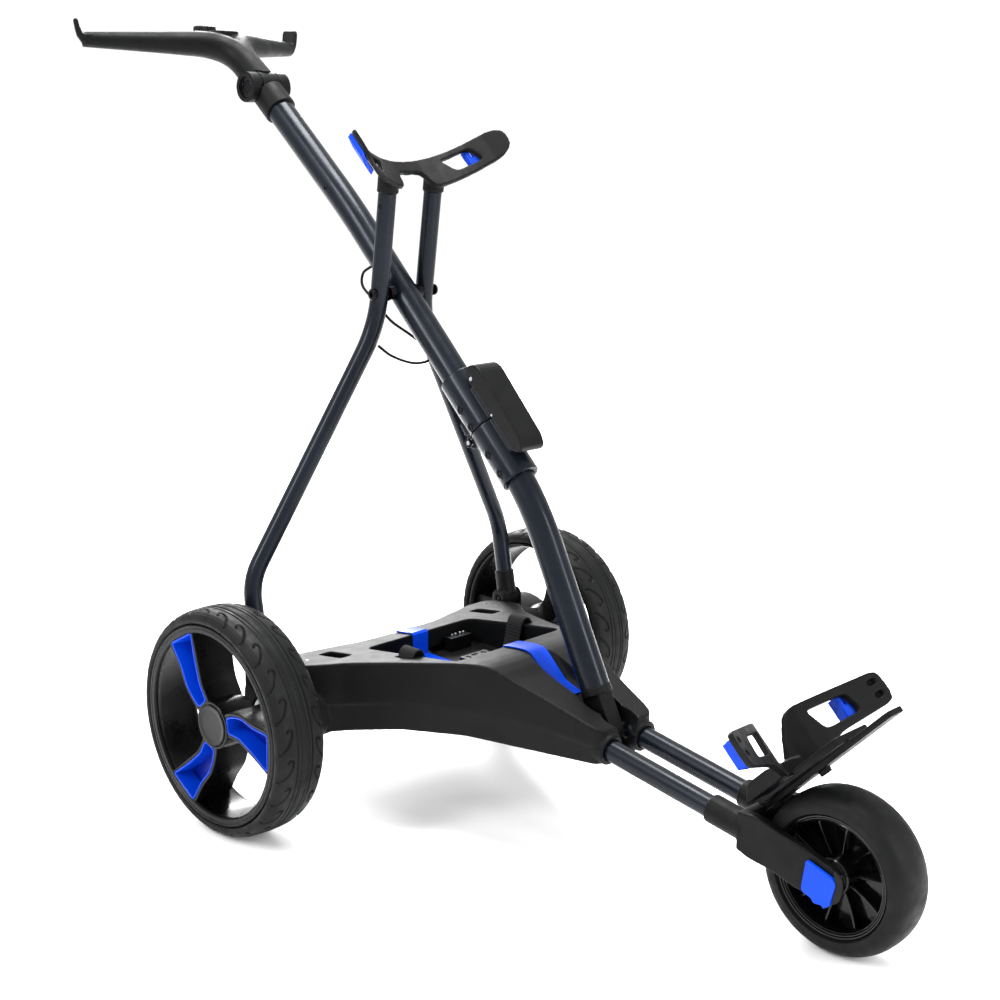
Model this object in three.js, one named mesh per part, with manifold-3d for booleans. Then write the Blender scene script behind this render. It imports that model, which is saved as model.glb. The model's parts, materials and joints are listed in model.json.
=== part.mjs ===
// Electric golf trolley with three wheels, a folding frame and two bag supports.
// Millimetres. +X forward, +Y left, +Z up. The parts are drawn with X = 0 in the middle of the rear
// beam and the ground at Z = 0, and the finished group is then centred on the origin.
import * as THREE from 'three';
import { mergeVertices } from 'three/addons/utils/BufferGeometryUtils.js';
import Module from 'manifold-3d';

const wasm = await Module();
wasm.setup();

// Driving dimensions.
const GAP = 0.3;
const REAR_WHEEL_R = 137;
const REAR_WHEEL_HALF = 33.7;
const REAR_WHEEL_Y = 270;
const REAR_RIM_R = 120.6;
const REAR_AXLE = [-7, REAR_WHEEL_R];
const FRONT_WHEEL_R = 88;
const FRONT_WHEEL_X = 661;
const FRONT_WHEEL_HALF = 29;
const FRONT_RIM_R = 65;
const MAIN_TUBE_R = 17.5;
const STAY_R = 11;
const STAY_TOP_Y = 36.9;
const STAY_FOOT_Y = 212;
const LEG_R = 12.5;
const LEG_Y = 29.3;
const SLEEVE_R = 22.5;
const BAG_SLOPE = 46 * Math.PI / 180;
const DECK_REAR_Z = 187.5;
const DECK_RISE = 0.137;
const WELL_FLOOR_Z = 160;

// Facets round a wheel, a tube and a small pin.
const FINE = 36;
const ROUND = 18;
const SMALL = 12;

// Pivots of the fold, in the X-Z plane.
const FOOT_PIVOT = [-24, 185];
const STAY_PIVOT = [-3, 621];
const KNEE_PIVOT = [127, 454];
const BASE_PIVOT = [345, 150];
const BARREL = [-272, 864.5];

// Line of the main tube through the split of its hinge block.
const SPLIT = [145, 473];
const TUBE_DIR = [0.7086, -0.7056];
const TUBE_UP = [0.7056, 0.7086];

// Finishes.
const finishes = {
  tube: { color: 0x1c2027, roughness: 0.35, metalness: 0.5 },
  moulding: { color: 0x1b1b1b, roughness: 0.65, metalness: 0 },
  gloss: { color: 0x0c0c0d, roughness: 0.2, metalness: 0 },
  accent: { color: 0x0f45d8, roughness: 0.4, metalness: 0 },
  tyre: { color: 0x232425, roughness: 0.85, metalness: 0 },
  webbing: { color: 0x101011, roughness: 0.9, metalness: 0 },
  steel: { color: 0x9a9ea3, roughness: 0.35, metalness: 1 },
  zinc: { color: 0x17181b, roughness: 0.4, metalness: 0.7 },
  board: { color: 0x1f5a34, roughness: 0.6, metalness: 0 },
  cable: { color: 0x0e0e0f, roughness: 0.55, metalness: 0 },
};

// Solids.
function toSolid(geometry) {
  const bare = geometry.clone();
  bare.deleteAttribute('normal');
  bare.deleteAttribute('uv');
  const merged = mergeVertices(bare, 1e-4);
  return new wasm.Manifold(new wasm.Mesh({
    numProp: 3,
    vertProperties: new Float32Array(merged.attributes.position.array),
    triVerts: new Uint32Array(merged.index.array),
  }));
}

function toGeometry(solid) {
  const mesh = solid.getMesh();
  const geometry = new THREE.BufferGeometry();
  geometry.setAttribute('position', new THREE.BufferAttribute(new Float32Array(mesh.vertProperties), 3));
  geometry.setIndex(new THREE.BufferAttribute(new Uint32Array(mesh.triVerts), 1));
  geometry.computeVertexNormals();
  return geometry;
}

const join = (...solids) => solids.reduce((sum, next) => sum.add(next));
const cut = (solid, ...tools) => tools.reduce((sum, next) => sum.subtract(next), solid);

function box(x0, x1, y0, y1, z0, z1) {
  const geometry = new THREE.BoxGeometry(x1 - x0, y1 - y0, z1 - z0);
  geometry.translate((x0 + x1) / 2, (y0 + y1) / 2, (z0 + z1) / 2);
  return toSolid(geometry);
}

function rod(from, to, r, sides = ROUND, rEnd = r) {
  const a = new THREE.Vector3(...from);
  const b = new THREE.Vector3(...to);
  const geometry = new THREE.CylinderGeometry(rEnd, r, a.distanceTo(b), sides);
  const turn = new THREE.Quaternion().setFromUnitVectors(
    new THREE.Vector3(0, 1, 0),
    b.clone().sub(a).normalize(),
  );
  geometry.applyQuaternion(turn);
  const middle = a.add(b).multiplyScalar(0.5);
  geometry.translate(middle.x, middle.y, middle.z);
  return toSolid(geometry);
}

// A rod along Y through a point of the X-Z plane.
const pinY = ([x, z], y0, y1, r, sides = r < 9 ? SMALL : ROUND) => rod([x, y0, z], [x, y1, z], r, sides);

// A ring or disc turned about Y from [radius, y] points.
function turned(points, sides = ROUND) {
  const profile = points.map(([r, y]) => new THREE.Vector2(r, y));
  return toSolid(new THREE.LatheGeometry(profile, sides));
}

function tubeRing(r0, r1, y0, y1, sides = ROUND) {
  return turned([[r0, y0], [r1, y0], [r1, y1], [r0, y1], [r0, y0]], sides);
}

function extruded(points, depth) {
  const shape = new THREE.Shape(points.map(([x, y]) => new THREE.Vector2(x, y)));
  return new THREE.ExtrudeGeometry(shape, { depth, bevelEnabled: false });
}

// An X-Z outline carried from y0 to y1.
function sideProfile(points, y0, y1) {
  const geometry = extruded(points, y1 - y0);
  geometry.rotateX(Math.PI / 2);
  geometry.translate(0, y1, 0);
  return toSolid(geometry);
}

// An X-Y outline carried from z0 to z1.
function plan(points, z0, z1) {
  const geometry = extruded(points, z1 - z0);
  geometry.translate(0, 0, z0);
  return toSolid(geometry);
}

// The bag frame: y across, u away from the bag's base plane, a down the bag's length.
const bagMatrix = new THREE.Matrix4().makeBasis(
  new THREE.Vector3(0, 1, 0),
  new THREE.Vector3(Math.cos(BAG_SLOPE), 0, Math.sin(BAG_SLOPE)),
  new THREE.Vector3(Math.sin(BAG_SLOPE), 0, -Math.cos(BAG_SLOPE)),
);

// A (y, u) section carried from a0 to a1 down the bag.
function bagSection(points, a0, a1) {
  const geometry = extruded(points, a1 - a0);
  geometry.translate(0, 0, a0);
  geometry.applyMatrix4(bagMatrix);
  return toSolid(geometry);
}

// A (y, a) outline carried from u0 to u1.
function bagOutline(points, u0, u1) {
  const geometry = extruded(points.map(([y, a]) => [y, -a]), u1 - u0);
  geometry.rotateX(-Math.PI / 2);
  geometry.translate(0, u0, 0);
  geometry.applyMatrix4(bagMatrix);
  return toSolid(geometry);
}

// An outline with its corners rounded.
function rounded(points, r, steps = 2) {
  const out = [];
  points.forEach((point, i) => {
    const corner = new THREE.Vector2(...point);
    const before = new THREE.Vector2(...points[(i + points.length - 1) % points.length]);
    const after = new THREE.Vector2(...points[(i + 1) % points.length]);
    const back = before.sub(corner);
    const ahead = after.sub(corner);
    const reach = Math.min(r, back.length() * 0.45, ahead.length() * 0.45);
    const start = corner.clone().add(back.setLength(reach));
    const end = corner.clone().add(ahead.setLength(reach));
    const arc = new THREE.QuadraticBezierCurve(start, corner, end);
    arc.getPoints(steps).forEach((p) => out.push([p.x, p.y]));
  });
  return out;
}

const mirrorY = (points) => points.map(([y, v]) => [-y, v]).reverse();

// A path of straight runs joined by bends that start the given distance from each corner.
function bentPath(points, reaches) {
  const path = new THREE.CurvePath();
  const corners = points.map((p) => new THREE.Vector3(...p));
  let start = corners[0];
  for (let i = 1; i < corners.length - 1; i += 1) {
    const back = corners[i - 1].clone().sub(corners[i]).setLength(reaches[i - 1]);
    const ahead = corners[i + 1].clone().sub(corners[i]).setLength(reaches[i - 1]);
    const enter = corners[i].clone().add(back);
    const leave = corners[i].clone().add(ahead);
    path.add(new THREE.LineCurve3(start, enter));
    path.add(new THREE.QuadraticBezierCurve3(enter, corners[i], leave));
    start = leave;
  }
  path.add(new THREE.LineCurve3(start, corners[corners.length - 1]));
  return path;
}

function pipe(path, r, sides, steps) {
  const section = [];
  for (let i = 0; i < sides; i += 1) {
    const angle = (i / sides) * 2 * Math.PI;
    section.push(new THREE.Vector2(r * Math.cos(angle), r * Math.sin(angle)));
  }
  const shape = new THREE.Shape(section);
  return toSolid(new THREE.ExtrudeGeometry(shape, { extrudePath: path, steps, bevelEnabled: false }));
}

const trolley = new THREE.Group();

function add(name, solid, finish, parent = trolley) {
  const mesh = new THREE.Mesh(toGeometry(solid), new THREE.MeshStandardMaterial(finishes[finish]));
  mesh.name = name;
  parent.add(mesh);
  return mesh;
}

// A point on the tube's line, s along it from the split and n above it.
const onTube = (s, n) => [
  SPLIT[0] + s * TUBE_DIR[0] + n * TUBE_UP[0],
  SPLIT[1] + s * TUBE_DIR[1] + n * TUBE_UP[1],
];
const at = ([x, z], y) => [x, y, z];
const sides = [['right', -1], ['left', 1]];

// Rear wheels. Each is drawn with its outer face towards -Y.
const SPOKE = [
  [18, 19], [38, 25.5], [56, 28.2], [80, 23.8], [116, 24], [116, -32], [77, -17], [49, -6.7], [18, -8],
];
const TRAY = [
  [22, 16.5], [40, 22], [56, 24.5], [80, 20], [109, 20], [108.5, -26], [78, -13], [50, -3], [26, -3.8],
];
const TRAY_POCKET = [
  [31, 14.5], [40, 18], [56, 20.3], [79, 16], [105, 16], [105, -20], [77, -8.8], [50, 1], [31, 0.6],
];
const WHEEL_FACE = -27;

function aroundHub(points, y0, y1) {
  const copies = [0, 1, 2].map((i) => sideProfile(points, y0, y1).rotate([0, i * 120, 0]));
  return join(...copies);
}

function shrink(points, by) {
  const count = points.length;
  const middle = points.reduce((sum, p) => [sum[0] + p[0] / count, sum[1] + p[1] / count], [0, 0]);
  return points.map(([x, z]) => [
    x + Math.sign(middle[0] - x) * by,
    z + Math.sign(middle[1] - z) * by,
  ]);
}

function rearRim() {
  const barrel = turned([
    [110, -32], [REAR_RIM_R, -32], [REAR_RIM_R, 30], [116.5, 30], [113.5, 25], [113.5, -24], [110, -27],
    [110, -32],
  ], FINE);
  const spokes = aroundHub(rounded(SPOKE, 6, 1), WHEEL_FACE, WHEEL_FACE + 48);
  const hub = tubeRing(6.3, 29, WHEEL_FACE + 0.4, 15, ROUND);
  const hubFront = tubeRing(0.01, 29, WHEEL_FACE + 0.4, -19.7, ROUND);
  const seat = tubeRing(25, 29.6, WHEEL_FACE - 1, -19.2, ROUND);
  const tabSlot = box(-42, -19, -19.4, -9.8, -13, -3);
  return cut(
    join(barrel, spokes, hub, hubFront),
    aroundHub(rounded(TRAY, 5, 1), WHEEL_FACE - 1, -19.2),
    seat,
    tabSlot,
  );
}

function rimAccent() {
  const trays = aroundHub(rounded(shrink(TRAY, GAP), 5, 1), -26.4, -19.5);
  const ring = tubeRing(25.3, 29.3, -26.4, -19.5, ROUND);
  return cut(join(trays, ring), aroundHub(TRAY_POCKET, -27, -21.8));
}

function rearTyre() {
  const half = REAR_WHEEL_HALF;
  const r = REAR_WHEEL_R;
  return turned([
    [REAR_RIM_R + GAP, -27], [123.5, -half + 1.5], [127.5, -half], [132, -31], [135, -26], [r, -16],
    [r, 16], [135, 26], [132, 31], [127.5, half], [123.5, half - 1.5], [REAR_RIM_R + GAP, 27],
    [REAR_RIM_R + GAP, -27],
  ], FINE);
}

const SHAFT_IN = { right: 198, left: 168 };
sides.forEach(([side, sign]) => {
  const wheel = new THREE.Group();
  wheel.position.set(REAR_AXLE[0], sign * REAR_WHEEL_Y, REAR_AXLE[1]);
  wheel.rotation.z = sign > 0 ? Math.PI : 0;
  add(`${side}_tyre`, rearTyre(), 'tyre', wheel);
  add(`${side}_rim`, rearRim(), 'gloss', wheel);
  add(`${side}_rim_accent`, rimAccent(), 'accent', wheel);
  const cap = turned([
    [0, -30.6], [20, -30.6], [24.6, -28.6], [24.6, -27], [0, -27], [0, -30.6],
  ], ROUND);
  add(`${side}_hub_cap`, cap, 'gloss', wheel);
  add(`${side}_release_tab`, box(-38, -23, -19, -10.2, -12.5, -3.5), 'zinc', wheel);
  add(`${side}_axle_shaft`, pinY([0, 0], -18, SHAFT_IN[side], 6), 'steel', wheel);
  trolley.add(wheel);
});

// Front wheel.
const frontWheel = new THREE.Group();
frontWheel.position.set(FRONT_WHEEL_X, 0, FRONT_WHEEL_R);

function frontTyre() {
  const points = [];
  const steps = 8;
  const power = 2.5;
  for (let i = 0; i <= steps; i += 1) {
    const angle = Math.PI * (i / steps);
    const across = -Math.cos(angle);
    const bulge = (1 - Math.abs(across) ** power) ** (1 / power);
    points.push([FRONT_RIM_R + 2 + (FRONT_WHEEL_R - FRONT_RIM_R - 2) * bulge, across * FRONT_WHEEL_HALF]);
  }
  points.push([FRONT_RIM_R + GAP, 25]);
  points.push([FRONT_RIM_R + GAP, -25]);
  points.push(points[0]);
  return turned(points, FINE);
}

function frontRim() {
  const barrel = turned([
    [59, -26], [65, -26], [65, 26], [59, 26], [56.5, 20], [56.5, -20], [59, -26],
  ], FINE);
  const hub = tubeRing(16, 20, -25, 25, ROUND);
  const blades = [];
  for (let i = 0; i < 10; i += 1) {
    blades.push(box(18, 58, -14, 14, -1.8, 1.8).rotate([0, i * 36, 0]));
  }
  return join(barrel, hub, ...blades);
}

add('front_tyre', frontTyre(), 'tyre', frontWheel);
add('front_rim', frontRim(), 'gloss', frontWheel);
add('front_hub_bush', tubeRing(6.5, 15.6, -25, 25, ROUND), 'steel', frontWheel);
trolley.add(frontWheel);

// Chassis. The deck rises towards the front and the sides draw in to the two leg sockets.
const DECK_HALF = [
  [-8, 0], [-12, 60], [-38, 142], [-38, 190], [20, 190], [46, 170], [62, 155], [126, 124], [173, 105],
  [208, 91], [239, 84], [300, 63], [372, 47], [372, 0],
];
const deckPlan = DECK_HALF.concat(DECK_HALF.slice(1, -1).map(([x, y]) => [x, -y]).reverse());
const BODY_SIDE = [
  [-40, 100], [-40, 182], [0, 187.5], [214, 217], [236, 216], [262, 205], [372, 166], [372, 124], [300, 122],
  [200, 124], [120, 118], [40, 104],
];

function legSocket(sign) {
  return rod([300, sign * LEG_Y, 152.5], [374, sign * LEG_Y, 141.8], 18.5, ROUND);
}

const legLine = (x) => 142.5 - (x - 367) * 0.1677;

function legRod(sign, x0, x1, r, count = ROUND) {
  return rod([x0, sign * LEG_Y, legLine(x0)], [x1, sign * LEG_Y, legLine(x1)], r, count);
}

function footEars(sign) {
  const [x, z] = FOOT_PIVOT;
  const outline = rounded([[x - 12, 150], [x - 12, z + 6], [x - 6, z + 12], [x + 6, z + 12], [x + 12, z + 6],
    [x + 12, 150]], 4);
  const inner = [sign * 195, sign * 198.6];
  const outer = [sign * 225.4, sign * 229];
  return join(
    sideProfile(outline, Math.min(...inner), Math.max(...inner)),
    sideProfile(outline, Math.min(...outer), Math.max(...outer)),
  );
}

function chassisShell() {
  const body = plan(deckPlan, 90, 240).intersect(sideProfile(rounded(BODY_SIDE, 8), -230, 230));
  const beam = sideProfile(rounded([
    [-38, 100], [-38, 164], [-30, 172], [22, 172], [44, 150], [44, 112], [30, 100],
  ], 8), -229, 229);
  const knuckleSlot = sideProfile([
    [290, 260], [318, 128], [365, 128], [380, 134], [380, 260],
  ], -11.6, 11.6);
  const tubeRecess = rod([345, 0, 150], [262, 0, 324], MAIN_TUBE_R + 4, 24);
  const forwardRoom = rod([345, 0, 150], [425, 0, 260], MAIN_TUBE_R + 5, 24);
  const well = plan(rounded([[26, -90], [187, -90], [187, 90], [26, 90]], 10), WELL_FLOOR_Z, 260);
  const motorBay = box(-33, 27, -190, 190, 96, 166);
  const frontBay = plan([[20, -120], [110, -112], [200, -70], [200, 70], [110, 112], [20, 120]], 90, 150);
  const holes = sides.flatMap(([, sign]) => [
    plan([[-6, sign * 121], [36, sign * 121], [36, sign * 139], [-6, sign * 139]], 168, 240),
    plan([[90, sign * 98], [118, sign * 98], [118, sign * 106], [90, sign * 106]], 165, 240),
    legRod(sign, 353, 400, LEG_R + GAP),
    pinY(REAR_AXLE, sign > 0 ? 180 : -232, sign > 0 ? 232 : -180, 14.3),
    pinY(FOOT_PIVOT, sign > 0 ? 190 : -232, sign > 0 ? 232 : -190, 4.4),
  ]);
  const footRoom = sides.map(([, sign]) => {
    const y = [sign * 198.6, sign * 225.4];
    return pinY(FOOT_PIVOT, Math.min(...y), Math.max(...y), 13.5);
  });
  const solid = join(body, beam, legSocket(-1), legSocket(1), footEars(-1), footEars(1));
  return cut(solid, knuckleSlot, tubeRecess, forwardRoom, well, motorBay, frontBay, ...holes, ...footRoom,
    pinY(BASE_PIVOT, -24, 24, 5.3));
}

// Accent band along the middle of the deck, down into the battery well and out over its front rim.
const band = sideProfile([
  [-5, 187.6], [26.3, 191.5], [26.3, WELL_FLOOR_Z + GAP], [186.7, WELL_FLOOR_Z + GAP], [186.7, 214],
  [214, 217.6], [236.4, 216.6], [262.5, 205.3], [262.5, 207.4], [236.5, 218.6], [213.5, 219.6],
  [184.7, 216.2], [184.7, WELL_FLOOR_Z + 2.3], [28.3, WELL_FLOOR_Z + 2.3], [28.3, 194], [-5, 189.4],
], -13, 13);
const shell = cut(
  chassisShell(),
  sideProfile([[190, 212], [214, 217.2], [236.2, 216], [264, 204.4], [264, 222], [190, 222]], -13.3, 13.3),
  sideProfile([[-6, 187], [26, 191.2], [26, 195], [-6, 195]], -13.3, 13.3),
);
add('chassis_shell', shell, 'moulding');
add('accent_band', band, 'accent');
const trayPlan = plan([
  [-32, -186], [26, -186], [26, -118], [110, -102], [186, -62], [186, 62], [110, 102], [26, 118], [26, 186],
  [-32, 186],
], 90, 140);
const traySide = sideProfile([
  [-40, 97], [26, 97], [40, 105.5], [120, 119.5], [200, 125.5], [200, 128], [120, 122], [40, 108], [26, 99.5],
  [-40, 99.5],
], -190, 190);
add('undertray', trayPlan.intersect(traySide), 'moulding');

// Battery strap with its buckle, lying across the rear of the well.
const strapLine = box(100, 126, -86, 86, WELL_FLOOR_Z + 3.4, WELL_FLOOR_Z + 5.4);
add('battery_strap', strapLine, 'webbing');
add('strap_buckle', box(95, 131, 4, 48, WELL_FLOOR_Z + 5.8, WELL_FLOOR_Z + 15), 'moulding');
add('battery_connector', box(30, 44, 40, 76, WELL_FLOOR_Z + GAP, WELL_FLOOR_Z + 18), 'gloss');

// Drive inside the rear beam, on the axle's line.
add('drive_motor', cut(pinY(REAR_AXLE, 10, 104.5, 24.5, ROUND), pinY(REAR_AXLE, 90, 110, 8.3)),
  'steel');
add('gearbox', cut(pinY(REAR_AXLE, -74.5, 9.7, 25.5, ROUND), pinY(REAR_AXLE, -80, -60, 8.3)),
  'zinc');
add('controller_board', box(60, 150, -55, 55, 127, 147), 'board');
sides.forEach(([side, sign]) => {
  const y = [sign * 212, sign * 227];
  add(`${side}_axle_bearing`, cut(
    pinY(REAR_AXLE, Math.min(...y), Math.max(...y), 14, ROUND),
    pinY(REAR_AXLE, -240, 240, 6.5),
  ), 'steel');
  add(`${side}_leg_tube`, legRod(sign, 354, 560, LEG_R), 'tube');
});

// Front fork: a yoke behind the wheel and an arm on each side of it.
const ARM_SIDE = rounded([
  [556, 90], [556, 130], [576, 133], [642, 116], [677, 106], [681, 88], [675, 71], [632, 71], [602, 80],
  [570, 84],
], 6);

function fork() {
  const arms = sides.map(([, sign]) => {
    const y = [sign * 33, sign * 43];
    return sideProfile(ARM_SIDE, Math.min(...y), Math.max(...y));
  });
  const yoke = sideProfile(rounded([
    [556, 88], [556, 132], [571.5, 132], [571.5, 118], [568.5, 88],
  ], 3), -43, 43);
  const sleeves = [legRod(-1, 514.3, 560, 16), legRod(1, 514.3, 560, 16)];
  return cut(join(...arms, yoke, ...sleeves),
    legRod(-1, 500, 561, LEG_R + GAP),
    legRod(1, 500, 561, LEG_R + GAP),
    pinY([FRONT_WHEEL_X, FRONT_WHEEL_R], -50, 50, 6.4),
    bagSection([[-13.3, 455], [13.3, 455], [13.3, 690], [-13.3, 690]], 315.7, 322.7));
}
add('front_fork', fork(), 'moulding');
add('front_axle', pinY([FRONT_WHEEL_X, FRONT_WHEEL_R], -42.8, 42.8, 6), 'steel');
sides.forEach(([side, sign]) => {
  const y = [sign * (43 + GAP), sign * 47.5];
  const clip = sideProfile(rounded([[646, 108], [676, 106], [671, 72], [661, 66], [648, 67], [642, 74]], 4),
    Math.min(...y), Math.max(...y));
  add(`${side}_axle_clip`, clip, 'accent');
});

// Lower bag support: a foot plate under the bag and a cradle with two arms.
const FOOT_A = 308;
const footPlate = join(
  bagSection(rounded([[-13, 462], [13, 462], [13, 687], [-13, 687]], 4), 316, 322.4),
  bagSection(rounded([[-30, 558], [30, 558], [30, 629], [-30, 629]], 6), FOOT_A, 316.2),
  bagSection([[-30, 500], [30, 500], [30, 570], [-30, 570]], 312, 316.2),
  bagOutline([[-3, 322], [3, 322], [3, 328], [-3, 328]], 566, 580),
);
add('foot_plate', footPlate, 'moulding');

function halfBand(curve, thick) {
  const inner = curve.map(([y, u]) => [y, u]);
  const outer = curve.map(([y, u]) => [y, u - thick]).reverse();
  return inner.concat(outer);
}
const cradleCurve = [[0, 531], [18, 541], [34, 556], [50, 566], [80, 581], [108, 594], [132, 606]];
const cradleWhole = mirrorY(cradleCurve).slice(0, -1).concat(cradleCurve);
const cradleOutline = rounded([
  [34, 246], [131, 256], [131, 294], [64, 296], [36, 307.6], [-36, 307.6], [-64, 296], [-131, 294],
  [-131, 256], [-34, 246], [-27, 250], [-4, 300], [4, 300], [27, 250],
], 9);
const cradleWindow = rounded([[44, 258], [88, 262], [94, 286], [52, 285]], 5);
const pillar = sideProfile(rounded([
  [557, 132.6], [570, 132.6], [594, 160], [604, 172], [596, 188], [580, 182], [557, 158],
], 5), -30, 18);

function lowerCradle() {
  const band = bagSection(halfBand(cradleWhole, 8), 240, 310);
  const shaped = band.intersect(bagOutline(cradleOutline, 480, 640));
  const plateRoom = join(
    bagSection([[-31, 440], [31, 440], [31, 630], [-31, 630]], FOOT_A - GAP, 345),
    bagSection([[-14, 420], [14, 420], [14, 690], [-14, 690]], FOOT_A, 345),
  );
  const notch = bagSection([[0, 531], [60, 575], [60, 640], [-60, 640], [-60, 575]], 200, 308);
  const post = cut(pillar, notch);
  return cut(join(shaped, post),
    bagOutline(cradleWindow, 480, 640),
    bagOutline(mirrorY(cradleWindow), 480, 640),
    plateRoom);
}
add('lower_cradle', lowerCradle(), 'moulding');

// Strap clips on the outer faces of the bag support arms.
function armClip(curve, thick, a0, a1, sign) {
  const far = curve.map(([y, u]) => [sign * y, u - GAP]);
  const near = curve.map(([y, u]) => [sign * y, u - thick]).reverse();
  return bagSection(sign > 0 ? far.concat(near) : far.concat(near).reverse(), a0, a1);
}
const lowerClipCurve = [[84, 574.9], [108, 586], [118, 590.8]];
sides.forEach(([side, sign]) => {
  add(`${side}_lower_clip`, armClip(lowerClipCurve, 9, 259, 289, sign), 'accent');
});

// Lower main tube, hinged to the chassis at its foot.
const lowerPath = bentPath([
  at(onTube(0.3, 0), 0), at([216, 405], 0), at([321.5, 196], 0),
], [62]);
const lowerTube = pipe(lowerPath, MAIN_TUBE_R, ROUND, 12);
add('lower_tube', lowerTube, 'tube');

const FOOT_DIR = new THREE.Vector2(345 - 321.5, 150 - 196).normalize();
const ringEnd = [321.5 + FOOT_DIR.x * GAP, 196 + FOOT_DIR.y * GAP];
const ringFoot = [321.5 + FOOT_DIR.x * 9, 196 + FOOT_DIR.y * 9];
const knuckle = join(
  rod(at(ringEnd, 0), at(ringFoot, 0), 18.4, ROUND),
  cut(sideProfile([[312, 180], [335, 195], [357, 155], [345, 138], [333, 145]], -11, 11),
    rod(at([321.5, 196], 0), at([300, 238], 0), 30, ROUND)),
  pinY(BASE_PIVOT, -11, 11, 13, ROUND),
);
const sealedKnuckle = cut(knuckle, lowerTube, pinY(BASE_PIVOT, -20, 20, 5.5));
add('tube_foot', cut(sealedKnuckle, rod(at([321.5, 196], 0), at([300, 238], 0), 40, ROUND)), 'moulding');
add('base_pin', pinY(BASE_PIVOT, -23.6, 23.6, 5), 'steel');

// Hinge block of the main tube: one clamp half on each tube, joined by a pin behind the split.
function earPlate(s0, s1, y0, y1) {
  const outline = [onTube(s0, -19), onTube(s1, -19), onTube(s1, -24), [KNEE_PIVOT[0], KNEE_PIVOT[1]],
    onTube(s0, -24)];
  const area = THREE.ShapeUtils.area(outline.map(([x, z]) => new THREE.Vector2(x, z)));
  const ordered = area > 0 ? outline : outline.reverse();
  return join(sideProfile(ordered, y0, y1), pinY(KNEE_PIVOT, y0, y1, 8.5));
}

// One clamp half: a sleeve round the tube with its ears, relieved for the other half's ears.
function hingeHalf(s0, s1, earS0, earS1, earHalves, otherEars) {
  const sleeve = rod(at(onTube(s0, 0), 0), at(onTube(s1, 0), 0), SLEEVE_R, ROUND);
  const ears = earHalves.map(([y0, y1]) => earPlate(earS0, earS1, y0, y1));
  const bore = rod(at(onTube(-110, 0), 0), at(onTube(110, 0), 0), MAIN_TUBE_R + GAP, ROUND);
  const relief = otherEars.map(([y0, y1]) => pinY(KNEE_PIVOT, y0 - GAP, y1 + GAP, 9.2));
  return cut(join(sleeve, ...ears), bore, pinY(KNEE_PIVOT, -30, 30, 4.4), ...relief);
}
const CENTRE_EAR = [[-7.7, 7.7]];
const OUTER_EARS = [[-14, -8.3], [8.3, 14]];
const saddle = (s0, s1) => sideProfile([onTube(s1, 19), onTube(s1, 27.8), onTube(s0, 27.8), onTube(s0, 19)],
  -13, 13);
add('lower_clamp', cut(
  hingeHalf(0.4, 76, 1.2, 24, CENTRE_EAR, OUTER_EARS).add(saddle(1, 48)),
  pipe(lowerPath, MAIN_TUBE_R + GAP, ROUND, 12),
), 'moulding');
const latchPin = onTube(-50, 33);
const latchPost = join(
  sideProfile([onTube(-45, 22), onTube(-45, 33), onTube(-55, 33), onTube(-55, 22)], -9, 9),
  pinY(latchPin, -9, 9, 4.9),
);
const tubeRoom = rod(at(onTube(-110, 0), 0), at(onTube(110, 0), 0), MAIN_TUBE_R + GAP, ROUND);
const latchFoot = cut(
  sideProfile([onTube(-45, 18.5), onTube(-45, 22.5), onTube(-55, 22.5), onTube(-55, 18.5)], -9, 9),
  rod(at(onTube(-110, 0), 0), at(onTube(110, 0), 0), MAIN_TUBE_R + GAP, ROUND),
);
add('upper_clamp', cut(
  join(hingeHalf(-74, -0.4, -24, -1.2, OUTER_EARS, CENTRE_EAR), cut(saddle(-44, -1), tubeRoom), latchPost,
    latchFoot),
  pinY(latchPin, -30, 30, 2.8),
), 'moulding');
add('knee_pin', pinY(KNEE_PIVOT, -15.5, 15.5, 4), 'steel');

// Upper main tube, from the split to the height adjuster.
const upperPath = bentPath([at(onTube(-0.4, 0), 0), [-100, 0, 717], [-252, 0, 847.8]], [40]);
const upperTube = pipe(upperPath, MAIN_TUBE_R, ROUND, 6);
add('upper_tube', upperTube, 'tube');

// Latch cover over the split, hinged at its upper end to the upper clamp's post.
const coverLine = [[-56, 28.5], [-65, 36], [-61, 48], [-50, 53], [48, 49], [60, 44], [62, 37], [54, 28.5]];
const coverOutline = rounded(coverLine.map(([s, n]) => onTube(s, n)), 5).reverse();
const latchSlot = sideProfile([onTube(-60, 20), onTube(-60, 38), onTube(-40, 38), onTube(-40, 20)].reverse(),
  -9.4, 9.4);
add('latch_cover', cut(sideProfile(coverOutline, -19, 19), latchSlot, pinY(latchPin, -30, 30, 2.8)), 'gloss');
add('latch_pin', pinY(latchPin, -18.8, 18.8, 2.5), 'steel');

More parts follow.
